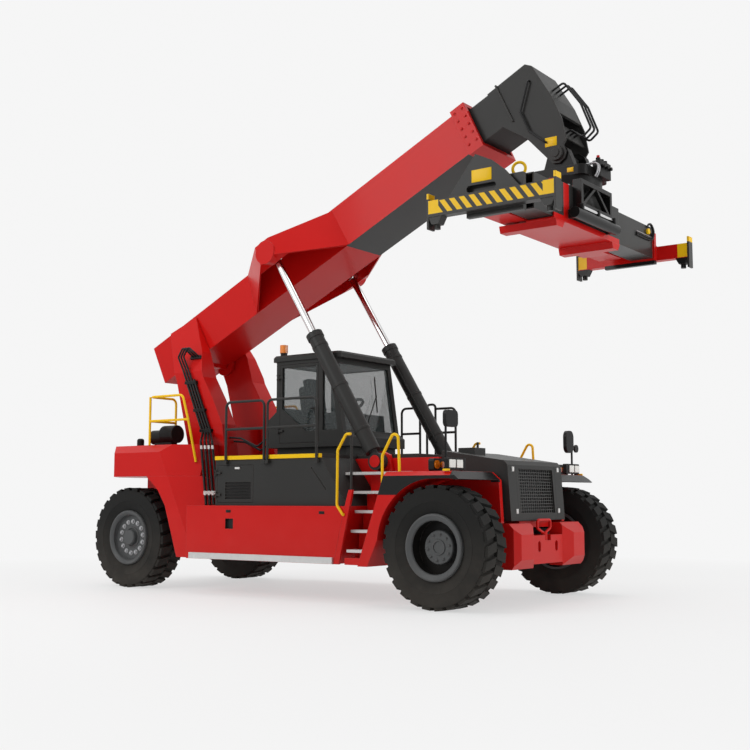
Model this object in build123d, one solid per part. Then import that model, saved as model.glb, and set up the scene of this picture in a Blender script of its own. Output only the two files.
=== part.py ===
from build123d import *
import math
import os

# Reach stacker, mm. +X forward, +Y left, +Z up, ground at z = 0, middle of the length at x = 0.

# Running gear
WHEELBASE = 6350
FRONT_AXLE_X = 2550
REAR_AXLE_X = FRONT_AXLE_X - WHEELBASE
TYRE_D = 1650
TYRE_W = 528
LUG_H = 50
LUGS = 26
LUG_IN = 16
LUG_LEAN = 12
AXLE_Z = TYRE_D / 2
FRONT_TRACK = 3440
REAR_TRACK = 2600
BEAD_R = 445
RIM_W = 430
FRONT_SPINDLE_R = 110
REAR_SPINDLE_R = 80
RUN = 0.1
KINGPIN_Y = REAR_TRACK / 2 - 350
KINGPIN_R = 50

# Chassis
FRAME_HALF = 450
FRAME_LOW = 650
FRAME_TOP = 1350
AXLE_SEAT = 1060
BODY_HALF = 860
BODY_LOW = 620
BODY_TOP = 2060
BODY_REAR = FRONT_AXLE_X - 5200
BODY_FRONT = FRONT_AXLE_X - 620
SILL_Z = 540
SILL_H = 95
TANK_TOP = 1360
TANK_Y = 1750
TANK_REAR = FRONT_AXLE_X - 4780
TANK_FRONT = FRONT_AXLE_X - 1640
TANK_LEAN = 200
DECK_TOP = 2120
DECK_Y = 1680
DECK_REAR = FRONT_AXLE_X - 4230
DECK_FRONT = FRONT_AXLE_X - 2130
BOX_WALL = 30
DOOR_GAP = 6
STEPS = 5
STEP_TOP = 750
STEP_RISE = 275
STEP_IN = 95
STEP_DEEP = 250
TREAD_T = 40
LEG_Y = 1600
CREASE_X = FRONT_AXLE_X - 5390
CREASE_LEAN = 26
CREASE_TURN = 36
REAR_END = FRONT_AXLE_X - 7150
CORNER_X = FRONT_AXLE_X - 6670
CORNER_Y = 1050
CW_LOW = 1830
CW_TOP = 2350
CW_EDGE = 125
FENDER_Y = 1985
FENDER_IN = 935
FENDER_TOP = 1830
FENDER_EDGE = 58
FENDER_FOOT = FRONT_AXLE_X - 1235
FENDER_BACK = FRONT_AXLE_X - 780
FENDER_NOSE = FRONT_AXLE_X + 405
FENDER_LIP = 110
ARCH_R = 905

# Boom, in its own side view: u along it from the pivot, v square to it
PITCH = 25.5
PIVOT_X = FRONT_AXLE_X - 6050
PIVOT_Z = 3880
PIVOT_R = 90
POST_Y = 790
BOOM_REAR = -740
BOOM_FRONT = 6600
BOOM_LOW = -50
BOOM_HIGH = 660
BOOM_HALF = 450
BOOM_WALL = 20
BOOM_SIDE_GAP = 12
INNER_LOW = 15
INNER_HIGH = 605
INNER_HALF = 375
INNER_WALL = 18
INNER_REAR = 900
SLIDE = 0.3
HEAD_U = 7491
HEAD_V = -853
HEAD_PIN_R = 60
LIFT_U = 2797
LIFT_V = 306
LIFT_Y = 1000
BOSS_IN = 1076
BOSS_OUT = 1240

# Lift cylinders
LIFT_BASE_X = FRONT_AXLE_X - 1600
LIFT_BASE_Z = 2010
BARREL_R = 122
BARREL_BORE = 95
BARREL_LEN = 2340
ROD_R = 60
ROD_TAIL = 3105
LIFT_PIN_R = 60

# Spreader, hung from the head pin
TURN = math.radians(PITCH)
SLEW_X = PIVOT_X + HEAD_U * math.cos(TURN) - HEAD_V * math.sin(TURN)
HEAD_Z = PIVOT_Z + HEAD_U * math.sin(TURN) + HEAD_V * math.cos(TURN)
YOKE_TOP = HEAD_Z - 215
RING_TOP = YOKE_TOP - 140
RING_LOW = RING_TOP - 120
RING_R = 470
BEAM_TOP = RING_LOW - 160
BEAM_LOW = BEAM_TOP - 540
BEAM_HALF_W = 420
CELL_LONG = 1300
CELL_SHORT = 750
BEAM_WALL = 20
ARM_GAP = 10
ARM_WALL = 18
ARM_IN = 1800
END_Y = 2280
END_T = 140
END_HALF = 920
END_TOP = BEAM_LOW + 220
POST_T = 30
LOCK_DROP = 160

# Cab and hood
CAB_REAR = FRONT_AXLE_X - 3800
CAB_FRONT = FRONT_AXLE_X - 2450
CAB_RAKE = 170
CAB_HALF = 750
CAB_LOW = 2270
CAB_HIGH = 3655
CAB_WALL = 60
SHROUD = 175
SHROUD_TOP = 2715
CAB_NOSE = 120
WINDOW_LOW = 2510
ROOF_TOP = 3755
DOOR_FRONT = FRONT_AXLE_X - 2930
GLASS_T = 8
HOOD_REAR = BODY_FRONT + 8
HOOD_FRONT = FRONT_AXLE_X + 500
HOOD_LOW = 1160
HOOD_TOP = 2150
HOOD_NOSE = 1995
HOOD_HALF = 800
HOOD_T = 25
GRILLE_HALF = 510
GRILLE_LOW = 1260
GRILLE_HIGH = 1880
GRILLE_T = 12
HINGE_R = 9
HINGE_OUT = 20
HOSE_R = 16
RAIL_R = 20
RAIL_BEND = 90


def span(x0, x1, y0, y1, z0, z1):
    """A block between two corners."""
    middle = Pos((x0 + x1) / 2, (y0 + y1) / 2, (z0 + z1) / 2)
    return middle * Box(abs(x1 - x0), abs(y1 - y0), abs(z1 - z0))


def slab(points, depth):
    """A flat outline of points, either way round, made solid upwards."""
    ends = zip(points, points[1:] + points[:1])
    area = sum(a[0] * b[1] - b[0] * a[1] for a, b in ends)
    ring = points if area > 0 else points[::-1]
    return extrude(Polygon(*ring, align=None), amount=depth)


def side(points, y0, y1):
    """A side view outline of (x, z) points, solid from y0 to y1."""
    return Pos(0, max(y0, y1), 0) * Rot(90, 0, 0) * slab(points, abs(y1 - y0))


def plan(points, z0, z1):
    """A plan view outline of (x, y) points, solid from z0 to z1."""
    return Pos(0, 0, z0) * slab(points, z1 - z0)


def front(points, x0, x1):
    """A front view outline of (y, z) points, solid from x0 to x1."""
    return Pos(x0, 0, 0) * (Plane.YZ * slab(points, x1 - x0))


def bar(p, q, radius):
    """A round bar from p to q."""
    run = Vector(*q) - Vector(*p)
    stand = (Align.CENTER, Align.CENTER, Align.MIN)
    return Plane(origin=p, z_dir=run) * Cylinder(radius, run.length, align=stand)


def disc(x, z, y0, y1, radius):
    """A round boss that lies across the machine."""
    return bar((x, min(y0, y1), z), (x, max(y0, y1), z), radius)


def tube(points, radius, bend):
    """A round tube through points, with its corners bent."""
    path = FilletPolyline(*points, radius=bend)
    return sweep(Plane(origin=path @ 0, z_dir=path % 0) * Circle(radius), path=path)


def group(*pieces):
    """Pieces that do not touch, kept as the solids of one node."""
    return Compound(children=[solid for piece in pieces for solid in piece.solids()])


def mirrored(piece):
    """The left-hand copy of a right-hand piece."""
    return mirror(piece, Plane.XZ)


def both(piece):
    """A right-hand piece and its left-hand mirror image."""
    return group(piece, mirrored(piece))


def hinge_pins(x, face_y, heights):
    """The fixed halves of a right-hand door's hinges: a pin between two lugs at each height."""
    y = face_y - HINGE_OUT
    fixed = []
    for z in heights:
        fixed.append(Pos(x, y, z) * Cylinder(HINGE_R - RUN, 80))
        fixed.append(span(x - 40, x + 7, y - 12, face_y, z + 26, z + 40))
        fixed.append(span(x - 40, x + 7, y - 12, face_y, z - 40, z - 26))
    return fixed


def hinge_straps(x, face_y, heights, leaf):
    """The moving halves: an eye on each pin and a strap onto the leaf, which starts at leaf."""
    y = face_y - HINGE_OUT
    moving = []
    for z in heights:
        strap = Pos(x, y, z) * Cylinder(17, 42) + span(x, x + 90, y - 6, y + 6, z - 18, z + 18)
        strap += span(leaf + 10, x + 90, y, face_y, z - 18, z + 18)
        moving.append(strap - Pos(x, y, z) * Cylinder(HINGE_R, 60))
    return moving


def boom_at(u, v):
    """The (x, z) of a point given in the boom's own side view."""
    x = PIVOT_X + u * math.cos(TURN) - v * math.sin(TURN)
    return x, PIVOT_Z + u * math.sin(TURN) + v * math.cos(TURN)


def boom_side(points, y0, y1):
    """An outline in the boom's side view, solid from y0 to y1."""
    return side([boom_at(u, v) for u, v in points], y0, y1)


def boom_block(u0, u1, y0, y1, v0, v1):
    """A block set square to the boom."""
    return boom_side([(u0, v0), (u1, v0), (u1, v1), (u0, v1)], y0, y1)


def boom_tube(points, radius, bend):
    """A bent tube through (u, y, v) points in the boom's frame."""
    path = [(*boom_at(u, v), y) for u, y, v in points]
    return tube([(x, y, z) for x, z, y in path], radius, bend)


def spun(profile, y):
    """A wheel piece: a (w, r) profile, w outwards, spun about the axle for the side of y."""
    face = Polygon(*[(r, w) for w, r in profile], align=None)
    turned = revolve(face, Axis.Y)
    return turned if y > 0 else mirrored(turned)


def tyre_lug(top, width, slant):
    """A right-hand tread lug at the top of a tyre that stands on the Y axis."""
    edge = TYRE_W / 2 - LUG_IN
    root = TYRE_D / 2 - LUG_H - 60
    outline = [
        ((slant - width) / 2, -edge),
        ((slant + width) / 2, -edge),
        ((width - slant) / 2, -10),
        ((-slant - width) / 2, -10),
    ]
    shoulder = [(-edge, root), (-5, root), (-5, top + 1), (LUG_LEAN - edge, top + 1)]
    return plan(outline, root, top) & front(shoulder, -width, width)


def tyre_blank():
    """A right-hand tyre about the Y axis: flat facets and two staggered rows of slanted lugs."""
    edge = TYRE_W / 2
    root = TYRE_D / 2 - LUG_H
    step = 360 / LUGS
    pitch = math.pi * TYRE_D / LUGS
    width = 0.64 * pitch
    slant = 0.32 * pitch
    top = math.sqrt((TYRE_D / 2) ** 2 - ((width + slant) / 2) ** 2)
    low = math.degrees(math.atan2((width + slant) / 2, top))
    right = [(RIM_W / 2, BEAD_R + SLIDE), (edge, 600), (edge - 14, root)]
    ring = right + [(-w, r) for w, r in reversed(right)]
    half = TYRE_D * math.tan(math.radians(step / 2))
    wedge = side([(0, 0), (half, TYRE_D), (-half, TYRE_D)], -edge - 1, edge + 1)
    sector = front(ring, -half, half) & wedge
    lug = tyre_lug(top, width, slant)
    pieces = []
    for i in range(LUGS):
        pieces.append(Rot(0, i * step, 0) * sector)
        pieces.append(Rot(0, i * step - low, 0) * lug)
        pieces.append(Rot(0, (i + 0.5) * step - low, 0) * mirrored(lug))
    return pieces[0] + pieces[1:]


def tyre(blank, x, y):
    """A tyre set on its axle."""
    return Pos(x, y, AXLE_Z) * (blank if y < 0 else mirrored(blank))


def barrel_half():
    """The rim's bead seat and flanges, from the outer face to the inner one."""
    lip = RIM_W / 2 + 35
    return [(lip, BEAD_R - 35), (lip, BEAD_R), (-lip, BEAD_R), (-lip, BEAD_R - 35)]


def front_rim(y):
    """A deep dished rim with a round hub."""
    bore = FRONT_SPINDLE_R
    start = [(60, 0), (120, 0), (120, 215), (105, 225), (0, 225), (0, BEAD_R - 63)]
    end = [(-40, BEAD_R - 60), (-40, 200), (-140, 200), (-140, bore), (60, bore)]
    return Pos(FRONT_AXLE_X, y, AXLE_Z) * spun(start + barrel_half() + end, y)


def rear_rim(y):
    """A rim with its disc near the outer face, hollow behind for the knuckle."""
    bore = REAR_SPINDLE_R
    start = [(140, 0), (235, 0), (235, 110), (215, 125), (150, 130), (150, BEAD_R - 70)]
    end = [(110, BEAD_R - 60), (110, 160), (0, 160), (0, bore), (140, bore)]
    return Pos(REAR_AXLE_X, y, AXLE_Z) * spun(start + barrel_half() + end, y)


def front_axle():
    """The drive axle with its spindles and the seats under the frame."""
    x = FRONT_AXLE_X
    end = FRONT_TRACK / 2 + 55
    tube_end = FRONT_TRACK / 2 - 145
    axle = disc(x, AXLE_Z, -tube_end, tube_end, 190)
    axle += disc(x, AXLE_Z, -end, end, FRONT_SPINDLE_R - RUN)
    axle += Pos(x, 0, AXLE_Z) * Sphere(300)
    for y in (90 - FRAME_HALF, FRAME_HALF - 90):
        axle += span(x - 200, x + 200, y - 80, y + 80, AXLE_Z, AXLE_SEAT)
    return axle - span(x - 400, x + 400, -FRAME_HALF - 50, FRAME_HALF + 50, AXLE_SEAT, AXLE_SEAT + 200)


def rear_axle():
    """The steering axle's beam with a fork for each kingpin."""
    x = REAR_AXLE_X
    reach = KINGPIN_Y - 80
    low = AXLE_Z - 145
    high = AXLE_Z + 145
    beam = span(x - 140, x + 140, -reach, reach, low, high)
    beam += span(x - 140, x + 140, 50 - FRAME_HALF, FRAME_HALF - 50, low - 20, AXLE_SEAT)
    for sign in (-1, 1):
        for z0, z1 in ((low - 80, low), (high, high + 80)):
            beam += span(x - 80, x + 80, sign * (KINGPIN_Y - 250), sign * KINGPIN_Y, z0, z1)
            beam += Pos(x, sign * KINGPIN_Y, (z0 + z1) / 2) * Cylinder(80, z1 - z0)
        beam -= Pos(x, sign * KINGPIN_Y, AXLE_Z) * Cylinder(KINGPIN_R, 600)
    return beam


def knuckle(sign):
    """A steering knuckle with its kingpin and the wheel's spindle."""
    y = sign * KINGPIN_Y
    piece = Pos(REAR_AXLE_X, y, AXLE_Z) * Cylinder(72, 276)
    piece += Pos(REAR_AXLE_X, y, AXLE_Z) * Cylinder(KINGPIN_R - RUN, 440)
    end = sign * (REAR_TRACK / 2 + 130)
    return piece + disc(REAR_AXLE_X, AXLE_Z, y, end, REAR_SPINDLE_R - RUN)


def hood_axis():
    """The (x, z) of the hood's hinge line."""
    return BODY_FRONT - 25, BODY_TOP + 27


def chassis_frame():
    """The welded frame: spine, middle body, rear riser, the tower's seat and the hood's hinge lugs."""
    rear = REAR_END + 60
    nose = FRONT_AXLE_X + 440
    under = REAR_AXLE_X + 420
    outline = [
        (rear, AXLE_SEAT),
        (under, AXLE_SEAT),
        (under + 200, FRAME_LOW),
        (FRONT_AXLE_X - 470, FRAME_LOW),
        (FRONT_AXLE_X - 330, AXLE_SEAT),
        (nose, AXLE_SEAT),
        (nose, FRAME_TOP - 200),
        (BODY_FRONT, FRAME_TOP - 200),
        (BODY_FRONT, FRAME_TOP),
        (rear, FRAME_TOP),
    ]
    frame = side(outline, -FRAME_HALF, FRAME_HALF)
    frame += span(BODY_REAR, BODY_FRONT, -BODY_HALF, BODY_HALF, BODY_LOW, BODY_TOP)
    frame += span(rear, BODY_REAR, -FRAME_HALF, FRAME_HALF, FRAME_TOP, CW_LOW)
    frame += span(PIVOT_X, BODY_REAR, -POST_Y - 10, POST_Y + 10, CW_LOW - 130, CW_LOW)
    x, z = hood_axis()
    for y in (-500, 500):
        frame += disc(x, z, y - 55, y + 55, HINGE_R - RUN)
        for near in (y - 55, y + 34):
            frame += span(x - 30, x + 16, near, near + 21, BODY_TOP, z + 16)
    return frame


def crease_cut():
    """What lies outside the oblique face that runs in from each leg's leaning front edge."""
    lean = math.radians(CREASE_LEAN)
    up = (-math.sin(lean), 0, math.cos(lean))
    along = (math.cos(lean), 0, math.sin(lean))
    edge = Plane(origin=(CREASE_X, -LEG_Y, CW_LOW), x_dir=along, z_dir=up)
    far = 2 * LEG_Y
    inward = far * math.tan(math.radians(CREASE_TURN)) / math.cos(lean)
    wedge = Polygon((0, 0), (0, -50), (far, -50), (far, inward), align=None)
    return edge * extrude(wedge, amount=LEG_Y * 2, both=True)


def counterweight():
    """The ballast slab over the rear wheels, with cut corners and oblique front faces."""
    nose = BODY_REAR + 240
    notch = PIVOT_X - 10
    waist = POST_Y + 15
    flank = BODY_HALF + 5
    right = [
        (REAR_END, 0),
        (REAR_END, -CORNER_Y),
        (CORNER_X, -LEG_Y),
        (nose, -LEG_Y),
        (nose, -flank),
        (BODY_REAR - 5, -flank),
        (BODY_REAR - 5, -waist),
        (notch, -waist),
        (notch, 0),
    ]
    ballast = plan(right, CW_LOW, CW_TOP) - crease_cut()
    edge = [
        (-LEG_Y - 1, CW_TOP - CW_EDGE - 1),
        (-LEG_Y - 1, CW_TOP + 1),
        (1.2 * CW_EDGE - LEG_Y + 1, CW_TOP + 1),
    ]
    ballast -= front(edge, REAR_END - 10, nose + 10)
    return ballast + mirrored(ballast)


def rear_legs():
    """The body sides ahead of the rear wheels, cut to the arch behind and obliquely in front."""
    x = REAR_AXLE_X
    outline = [
        (x + 1200, SILL_Z),
        (x + 1060, 950),
        (x + 915, TANK_TOP),
        (x + 750, 1600),
        (x + 475, CW_LOW),
        (DECK_REAR - 120, CW_LOW),
        (DECK_REAR - 120, TANK_TOP),
        (TANK_REAR, TANK_TOP),
        (TANK_REAR, SILL_Z),
    ]
    leg = side(outline, -LEG_Y, -BODY_HALF) - crease_cut()
    leg -= span(x + 450, BODY_REAR, -BODY_HALF - 60, -BODY_HALF + 10, 0, CW_LOW - 190)
    return both(leg)


def tower_post():
    """A leaning post whose ear rises beside the boom to its top edge, its face leaning in."""
    x = FRONT_AXLE_X
    outline = [
        (x - 5600, CW_LOW),
        (BODY_REAR, CW_LOW),
        (BODY_REAR, BODY_TOP),
        (BODY_REAR + 340, BODY_TOP),
        (x - 4960, 2700),
        (x - 5190, 3150),
        (PIVOT_X + 630, PIVOT_Z - 360),
        (PIVOT_X + 490, PIVOT_Z + 90),
        (PIVOT_X + 130, PIVOT_Z + 740),
        (PIVOT_X - 410, PIVOT_Z + 490),
        (PIVOT_X, PIVOT_Z - 380),
    ]
    post = side(outline, -POST_Y, -BOOM_HALF - BOOM_SIDE_GAP)
    y, z = ear_foot()
    lean = [(y, z), (y + 316, z + 1020), (y + 316, z + 1100), (y - 10, z + 1100), (y - 10, z)]
    return post - front(lean, PIVOT_X - 600, PIVOT_X + 800)


def ear_foot():
    """The (y, z) of the line where a tower post's outer face starts to lean in."""
    return -POST_Y, PIVOT_Z - 260


def boom_tower():
    """Both posts, the cross plate between them and the boom's pivot pin."""
    post = tower_post()
    x = FRONT_AXLE_X
    cross = [
        (x - 5560, CW_LOW),
        (BODY_REAR, CW_LOW),
        (BODY_REAR, BODY_TOP),
        (BODY_REAR + 70, BODY_TOP),
        (x - 5230, 2700),
        (x - 5800, 2700),
    ]
    tower = post + mirrored(post) + side(cross, -BOOM_HALF - 20, BOOM_HALF + 20)
    return tower + disc(PIVOT_X, PIVOT_Z, 90 - POST_Y, POST_Y - 90, PIVOT_R - RUN)


def tank_edge(z):
    """The x of the tanks' leaning front edge at a height."""
    return TANK_FRONT - TANK_LEAN * (TANK_TOP - z) / (TANK_TOP - SILL_Z)


def box_edge(z):
    """The x of the side boxes' leaning front face at a height."""
    return TANK_FRONT + (DECK_FRONT - TANK_FRONT) * (z - TANK_TOP) / (BODY_TOP - TANK_TOP)


def side_tanks():
    """The tanks that close the body's lower sides, with a pocket in the outer face."""
    outline = [
        (TANK_REAR, SILL_Z),
        (tank_edge(SILL_Z), SILL_Z),
        (TANK_FRONT, TANK_TOP),
        (TANK_REAR, TANK_TOP),
    ]
    tank = side(outline, -TANK_Y, -BODY_HALF)
    pocket = TANK_REAR + 835
    tank -= span(pocket, pocket + 162, -TANK_Y - 1, -TANK_Y + 40, TANK_TOP - 352, TANK_TOP - 197)
    return both(tank)


def box_outline():
    """The side boxes in side view."""
    return [(DECK_REAR, TANK_TOP), (TANK_FRONT, TANK_TOP), (DECK_FRONT, BODY_TOP), (DECK_REAR, BODY_TOP)]


def tool_box():
    """The box on the right tank, open behind its door."""
    box = side(box_outline(), -DECK_Y, -BODY_HALF)
    x0, x1, z0, z1 = box_door_hole()
    w = BOX_WALL
    inner = DECK_FRONT - 700
    box -= span(DECK_REAR + w, inner, w - DECK_Y, -BODY_HALF - w, TANK_TOP + w, BODY_TOP - w)
    box -= span(x0, x1, -DECK_Y - 1, -DECK_Y + w + 1, z0, z1)
    x = DECK_FRONT
    slit = [(x - 190, 1915), (x - 170, 1930), (x + 115, 1600), (x + 95, 1585)]
    box -= side(slit, -DECK_Y - 1, 12 - DECK_Y)
    return box + hinge_pins(x0 - 10, -DECK_Y, (z0 + 120, z1 - 120))


def left_box():
    """The closed box on the left tank."""
    return mirrored(side(box_outline(), -DECK_Y, -BODY_HALF))


def box_door_hole():
    """The opening of the right box's door as x0, x1, z0, z1."""
    return DECK_REAR + 45, DECK_REAR + 790, TANK_TOP + 45, BODY_TOP - 80


def box_door():
    """The right box's door, in its opening, with a vent recess of five slats and its hinge eyes."""
    x0, x1, z0, z1 = box_door_hole()
    gap = DOOR_GAP
    leaf = span(x0 + gap, x1 - gap, -DECK_Y, BOX_WALL - DECK_Y, z0 + gap, z1 - gap)
    leaf -= span(x0 + 165, x1 - 50, -DECK_Y - 1, 16 - DECK_Y, z0 + 50, z0 + 312)
    for i in range(5):
        z = z0 + 80 + 46 * i
        leaf += span(x0 + 160, x1 - 45, 4 - DECK_Y, 18 - DECK_Y, z, z + 20)
    leaf += span(x0 + 380, x0 + 470, -DECK_Y - 22, -DECK_Y, z1 - 65, z1 - 35)
    return leaf + hinge_straps(x0 - 10, -DECK_Y, (z0 + 120, z1 - 120), x0 + gap)


def deck():
    """The walkway plates over the boxes and round the cab."""
    plate = span(DECK_REAR, DECK_FRONT, -DECK_Y - 20, DECK_Y + 20, BODY_TOP, DECK_TOP)
    plate += span(BODY_REAR + 360, DECK_REAR, -BODY_HALF, BODY_HALF, BODY_TOP, DECK_TOP)
    return plate + span(DECK_FRONT, BODY_FRONT - 400, 60 - BODY_HALF, BODY_HALF - 60, BODY_TOP, DECK_TOP)


def step_at(i):
    """The front edge y and the top z of tread i."""
    return STEP_IN * i - TANK_Y, STEP_TOP + STEP_RISE * i


def steps():
    """The stepped block ahead of each tank, with its slanted string and its sill."""
    outline = [(-BODY_HALF, SILL_Z), (-TANK_Y, SILL_Z), (-TANK_Y, SILL_Z + SILL_H)]
    rise = SILL_Z + SILL_H
    for i in range(STEPS):
        y, z = step_at(i)
        outline += [(y + STEP_DEEP, rise), (y + STEP_DEEP, z)]
        rise = z
    outline.append((-BODY_HALF, rise))
    block = front(outline, TANK_FRONT + 2, FENDER_FOOT - 5)
    top = TANK_TOP + 230
    string = [
        (tank_edge(SILL_Z) + 2, SILL_Z),
        (tank_edge(SILL_Z) + 95, SILL_Z),
        (TANK_FRONT + 140, top),
        (TANK_FRONT + 70, top),
        (TANK_FRONT + 2, TANK_TOP),
    ]
    return both(block + side(string, -TANK_Y, 40 - TANK_Y))


def treads():
    """The zinc treads of both stairs and the sill strips under the tanks."""
    pieces = [span(TANK_REAR + 90, tank_edge(SILL_Z) - 2, -TANK_Y - 35, -TANK_Y, SILL_Z + 5, SILL_Z + SILL_H)]
    lean = (FENDER_BACK - 20 - FENDER_FOOT) / (FENDER_TOP - FENDER_EDGE - SILL_Z)
    for i in range(STEPS):
        y, z = step_at(i)
        start = 4 + (box_edge(z - TREAD_T) if z > TANK_TOP else TANK_FRONT)
        end = FENDER_FOOT + lean * (z - TREAD_T - SILL_Z) - 4
        pieces.append(span(start, end, y + 45, y + STEP_DEEP, z - TREAD_T, z))
    return both(group(*pieces))


def fender():
    """The right front mudguard: foot, arch, flat top with a cut edge and a sloping front lip."""
    x = FRONT_AXLE_X
    top = FENDER_TOP
    lip = top - FENDER_LIP
    flat = FENDER_NOSE - 135
    under = AXLE_Z + ARCH_R
    reach = ARCH_R * math.sqrt(0.5)
    inner = FENDER_IN + 365
    outline = [
        (FENDER_FOOT, SILL_Z),
        (FENDER_BACK - 20, top - FENDER_EDGE),
        (FENDER_BACK, top),
        (flat, top),
        (FENDER_NOSE, lip),
        (FENDER_NOSE - 25, lip - 8),
        (flat - 15, under),
        (x + 10, under),
        (x + 10, AXLE_Z + reach),
        (x - reach, AXLE_Z + reach),
        (FENDER_FOOT + 165, SILL_Z),
    ]
    guard = side(outline, -FENDER_Y, -inner) - disc(x, AXLE_Z, -FENDER_Y - 1, 1 - inner, ARCH_R)
    cut = [
        (-FENDER_Y - 1, top - FENDER_EDGE - 1),
        (-FENDER_Y - 1, top + 1),
        (FENDER_EDGE + 1 - FENDER_Y, top + 1),
    ]
    guard -= front(cut, FENDER_FOOT, FENDER_NOSE + 10)
    roof = [
        (FENDER_BACK, top - 40),
        (FENDER_BACK, top),
        (flat, top),
        (FENDER_NOSE, lip),
        (FENDER_NOSE - 25, lip - 8),
        (flat - 15, top - 40),
    ]
    wall = [
        (FENDER_FOOT, SILL_Z + 100),
        (x - 620, SILL_Z + 100),
        (x - 330, AXLE_SEAT + 10),
        (x + 432, HOOD_LOW - 30),
        (FENDER_NOSE - 5, lip),
        (flat, top),
        (FENDER_BACK - 100, top),
    ]
    back = [
        (FENDER_FOOT, SILL_Z),
        (FENDER_FOOT + 55, SILL_Z),
        (FENDER_BACK, top - 200),
        (FENDER_BACK, top),
    ]
    piece = guard + side(roof, -inner, -FENDER_IN) + side(wall, -FENDER_IN, -BODY_HALF)
    return piece + side(back, -inner - 10, -FENDER_IN)


def bumper():
    """The front bumper beam with its two cut blocks, towing notch and oval holes."""
    x = FRONT_AXLE_X
    face = x + 650
    nose = face + 100
    beam = span(x + 440, face, -930, 930, SILL_Z + 20, 955)
    for sign in (-1, 1):
        outline = [
            (x + 440, sign * 440),
            (face, sign * 440),
            (nose, sign * 610),
            (nose, sign * 950),
            (nose - 70, sign * 1040),
            (x + 440, sign * 1040),
        ]
        block = plan(outline, SILL_Z - 30, HOOD_LOW - 35)
        block -= side([(face - 40, HOOD_LOW - 34), (nose + 1, 980), (nose + 1, HOOD_LOW - 34)], -1100, 1100)
        block -= side([(face - 10, SILL_Z - 31), (nose + 1, 640), (nose + 1, SILL_Z - 31)], -1100, 1100)
        beam += block
    beam -= span(face - 110, face + 10, -85, 85, 880, 960)
    for y in (-255, 255):
        beam -= Pos(face, y, 800) * (Plane.YZ * extrude(SlotOverall(150, 80, rotation=90), amount=-60))
    return beam


def tow_pin():
    """The towing pin in the bumper's notch, with its loop handle."""
    x = FRONT_AXLE_X + 590
    pin = bar((x, 0, 880), (x, 0, 1000), 45)
    loop = [(x, -30, 985), (x, -200, 1050), (x, -200, 1165), (x, 185, 1165), (x, 185, 1050), (x, 30, 985)]
    return pin + tube(loop, 20, 40)


def engine():
    """The engine and its radiator as plain masses on the frame."""
    x = FRONT_AXLE_X
    block = span(BODY_FRONT, x + 180, -380, 380, FRAME_TOP - 200, 1820)
    return block + span(x + 180, x + 300, -560, 560, FRAME_TOP - 200, 1900)


def hood():
    """The hood: sides, top with a low cap, a nose frame round the grille and its hinge eyes."""
    t = HOOD_T
    outline = [
        (HOOD_REAR, HOOD_LOW),
        (HOOD_FRONT + 15, HOOD_LOW),
        (HOOD_FRONT - 40, HOOD_NOSE - 60),
        (HOOD_FRONT - 95, HOOD_NOSE),
        (HOOD_REAR, HOOD_TOP),
    ]
    core = [
        (HOOD_REAR - 1, HOOD_LOW - 1),
        (HOOD_FRONT + 15 - t, HOOD_LOW - 1),
        (HOOD_FRONT - 40 - t, HOOD_NOSE - 60),
        (HOOD_FRONT - 105, HOOD_NOSE - t),
        (HOOD_REAR - 1, HOOD_TOP - t),
    ]
    shell = side(outline, -HOOD_HALF, HOOD_HALF) - side(core, t - HOOD_HALF, HOOD_HALF - t)
    shell -= span(HOOD_FRONT - 200, HOOD_FRONT + 100, -GRILLE_HALF, GRILLE_HALF, GRILLE_LOW, GRILLE_HIGH)
    shell += span(HOOD_REAR + 60, HOOD_REAR + 340, -450, -150, HOOD_TOP - 62, HOOD_TOP + 50)
    x, z = hood_axis()
    for y in (-500, 500):
        shell += disc(x, z, y - 30, y + 30, 20)
        shell += span(x, HOOD_REAR + 150, y - 25, y + 25, z - 8, z + 12)
        shell += span(HOOD_REAR + 30, HOOD_REAR + 150, y - 25, y + 25, z, HOOD_TOP - 35)
        shell -= disc(x, z, y - 40, y + 40, HINGE_R)
    return shell


def grille():
    """The grille's square mesh, which lies behind the nose frame."""
    drop = HOOD_NOSE - 60 - HOOD_LOW
    z = (GRILLE_LOW + GRILLE_HIGH) / 2
    x = HOOD_FRONT + 15 - 55 * (z - HOOD_LOW) / drop - HOOD_T - SLIDE
    nose = Plane(origin=(x, 0, z), x_dir=(0, 1, 0), z_dir=(drop, 0, 55))
    wide = 2 * GRILLE_HALF
    high = GRILLE_HIGH - GRILLE_LOW
    across = 16
    up = 14
    hole = Rectangle(wide / across - 12, high / up - 10)
    grid = GridLocations(wide / across, high / up, across, up)
    sheet = Rectangle(wide + 60, high + 50) - [at * hole for at in grid]
    return nose * extrude(sheet, amount=-GRILLE_T)


def lamps():
    """Head and side lamp housings on the mudguards."""
    x = FRONT_AXLE_X
    z = FENDER_TOP
    head = span(x + 150, x + 212, -1920, -1480, z + 20, z + 175)
    head = fillet(head.edges().filter_by(Axis.X), 18)
    for y in (-1860, -1540):
        head += span(x + 160, x + 200, y - 20, y + 20, z, z + 30)
    tail = fillet(span(x - 105, x - 20, -1920, -1610, z, z + 170).edges().filter_by(Axis.X), 40)
    return both(group(head, tail))


def lenses():
    """The white and amber lenses on the lamp housings."""
    x = FRONT_AXLE_X
    z = FENDER_TOP
    pieces = [span(x + 212, x + 224, y - 74, y + 74, z + 45, z + 150) for y in (-1830, -1648)]
    pieces += [bar((x - 20, y, z + 88), (x - 4, y, z + 88), r) for y, r in ((-1845, 58), (-1715, 42))]
    return both(group(*pieces))


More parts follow.
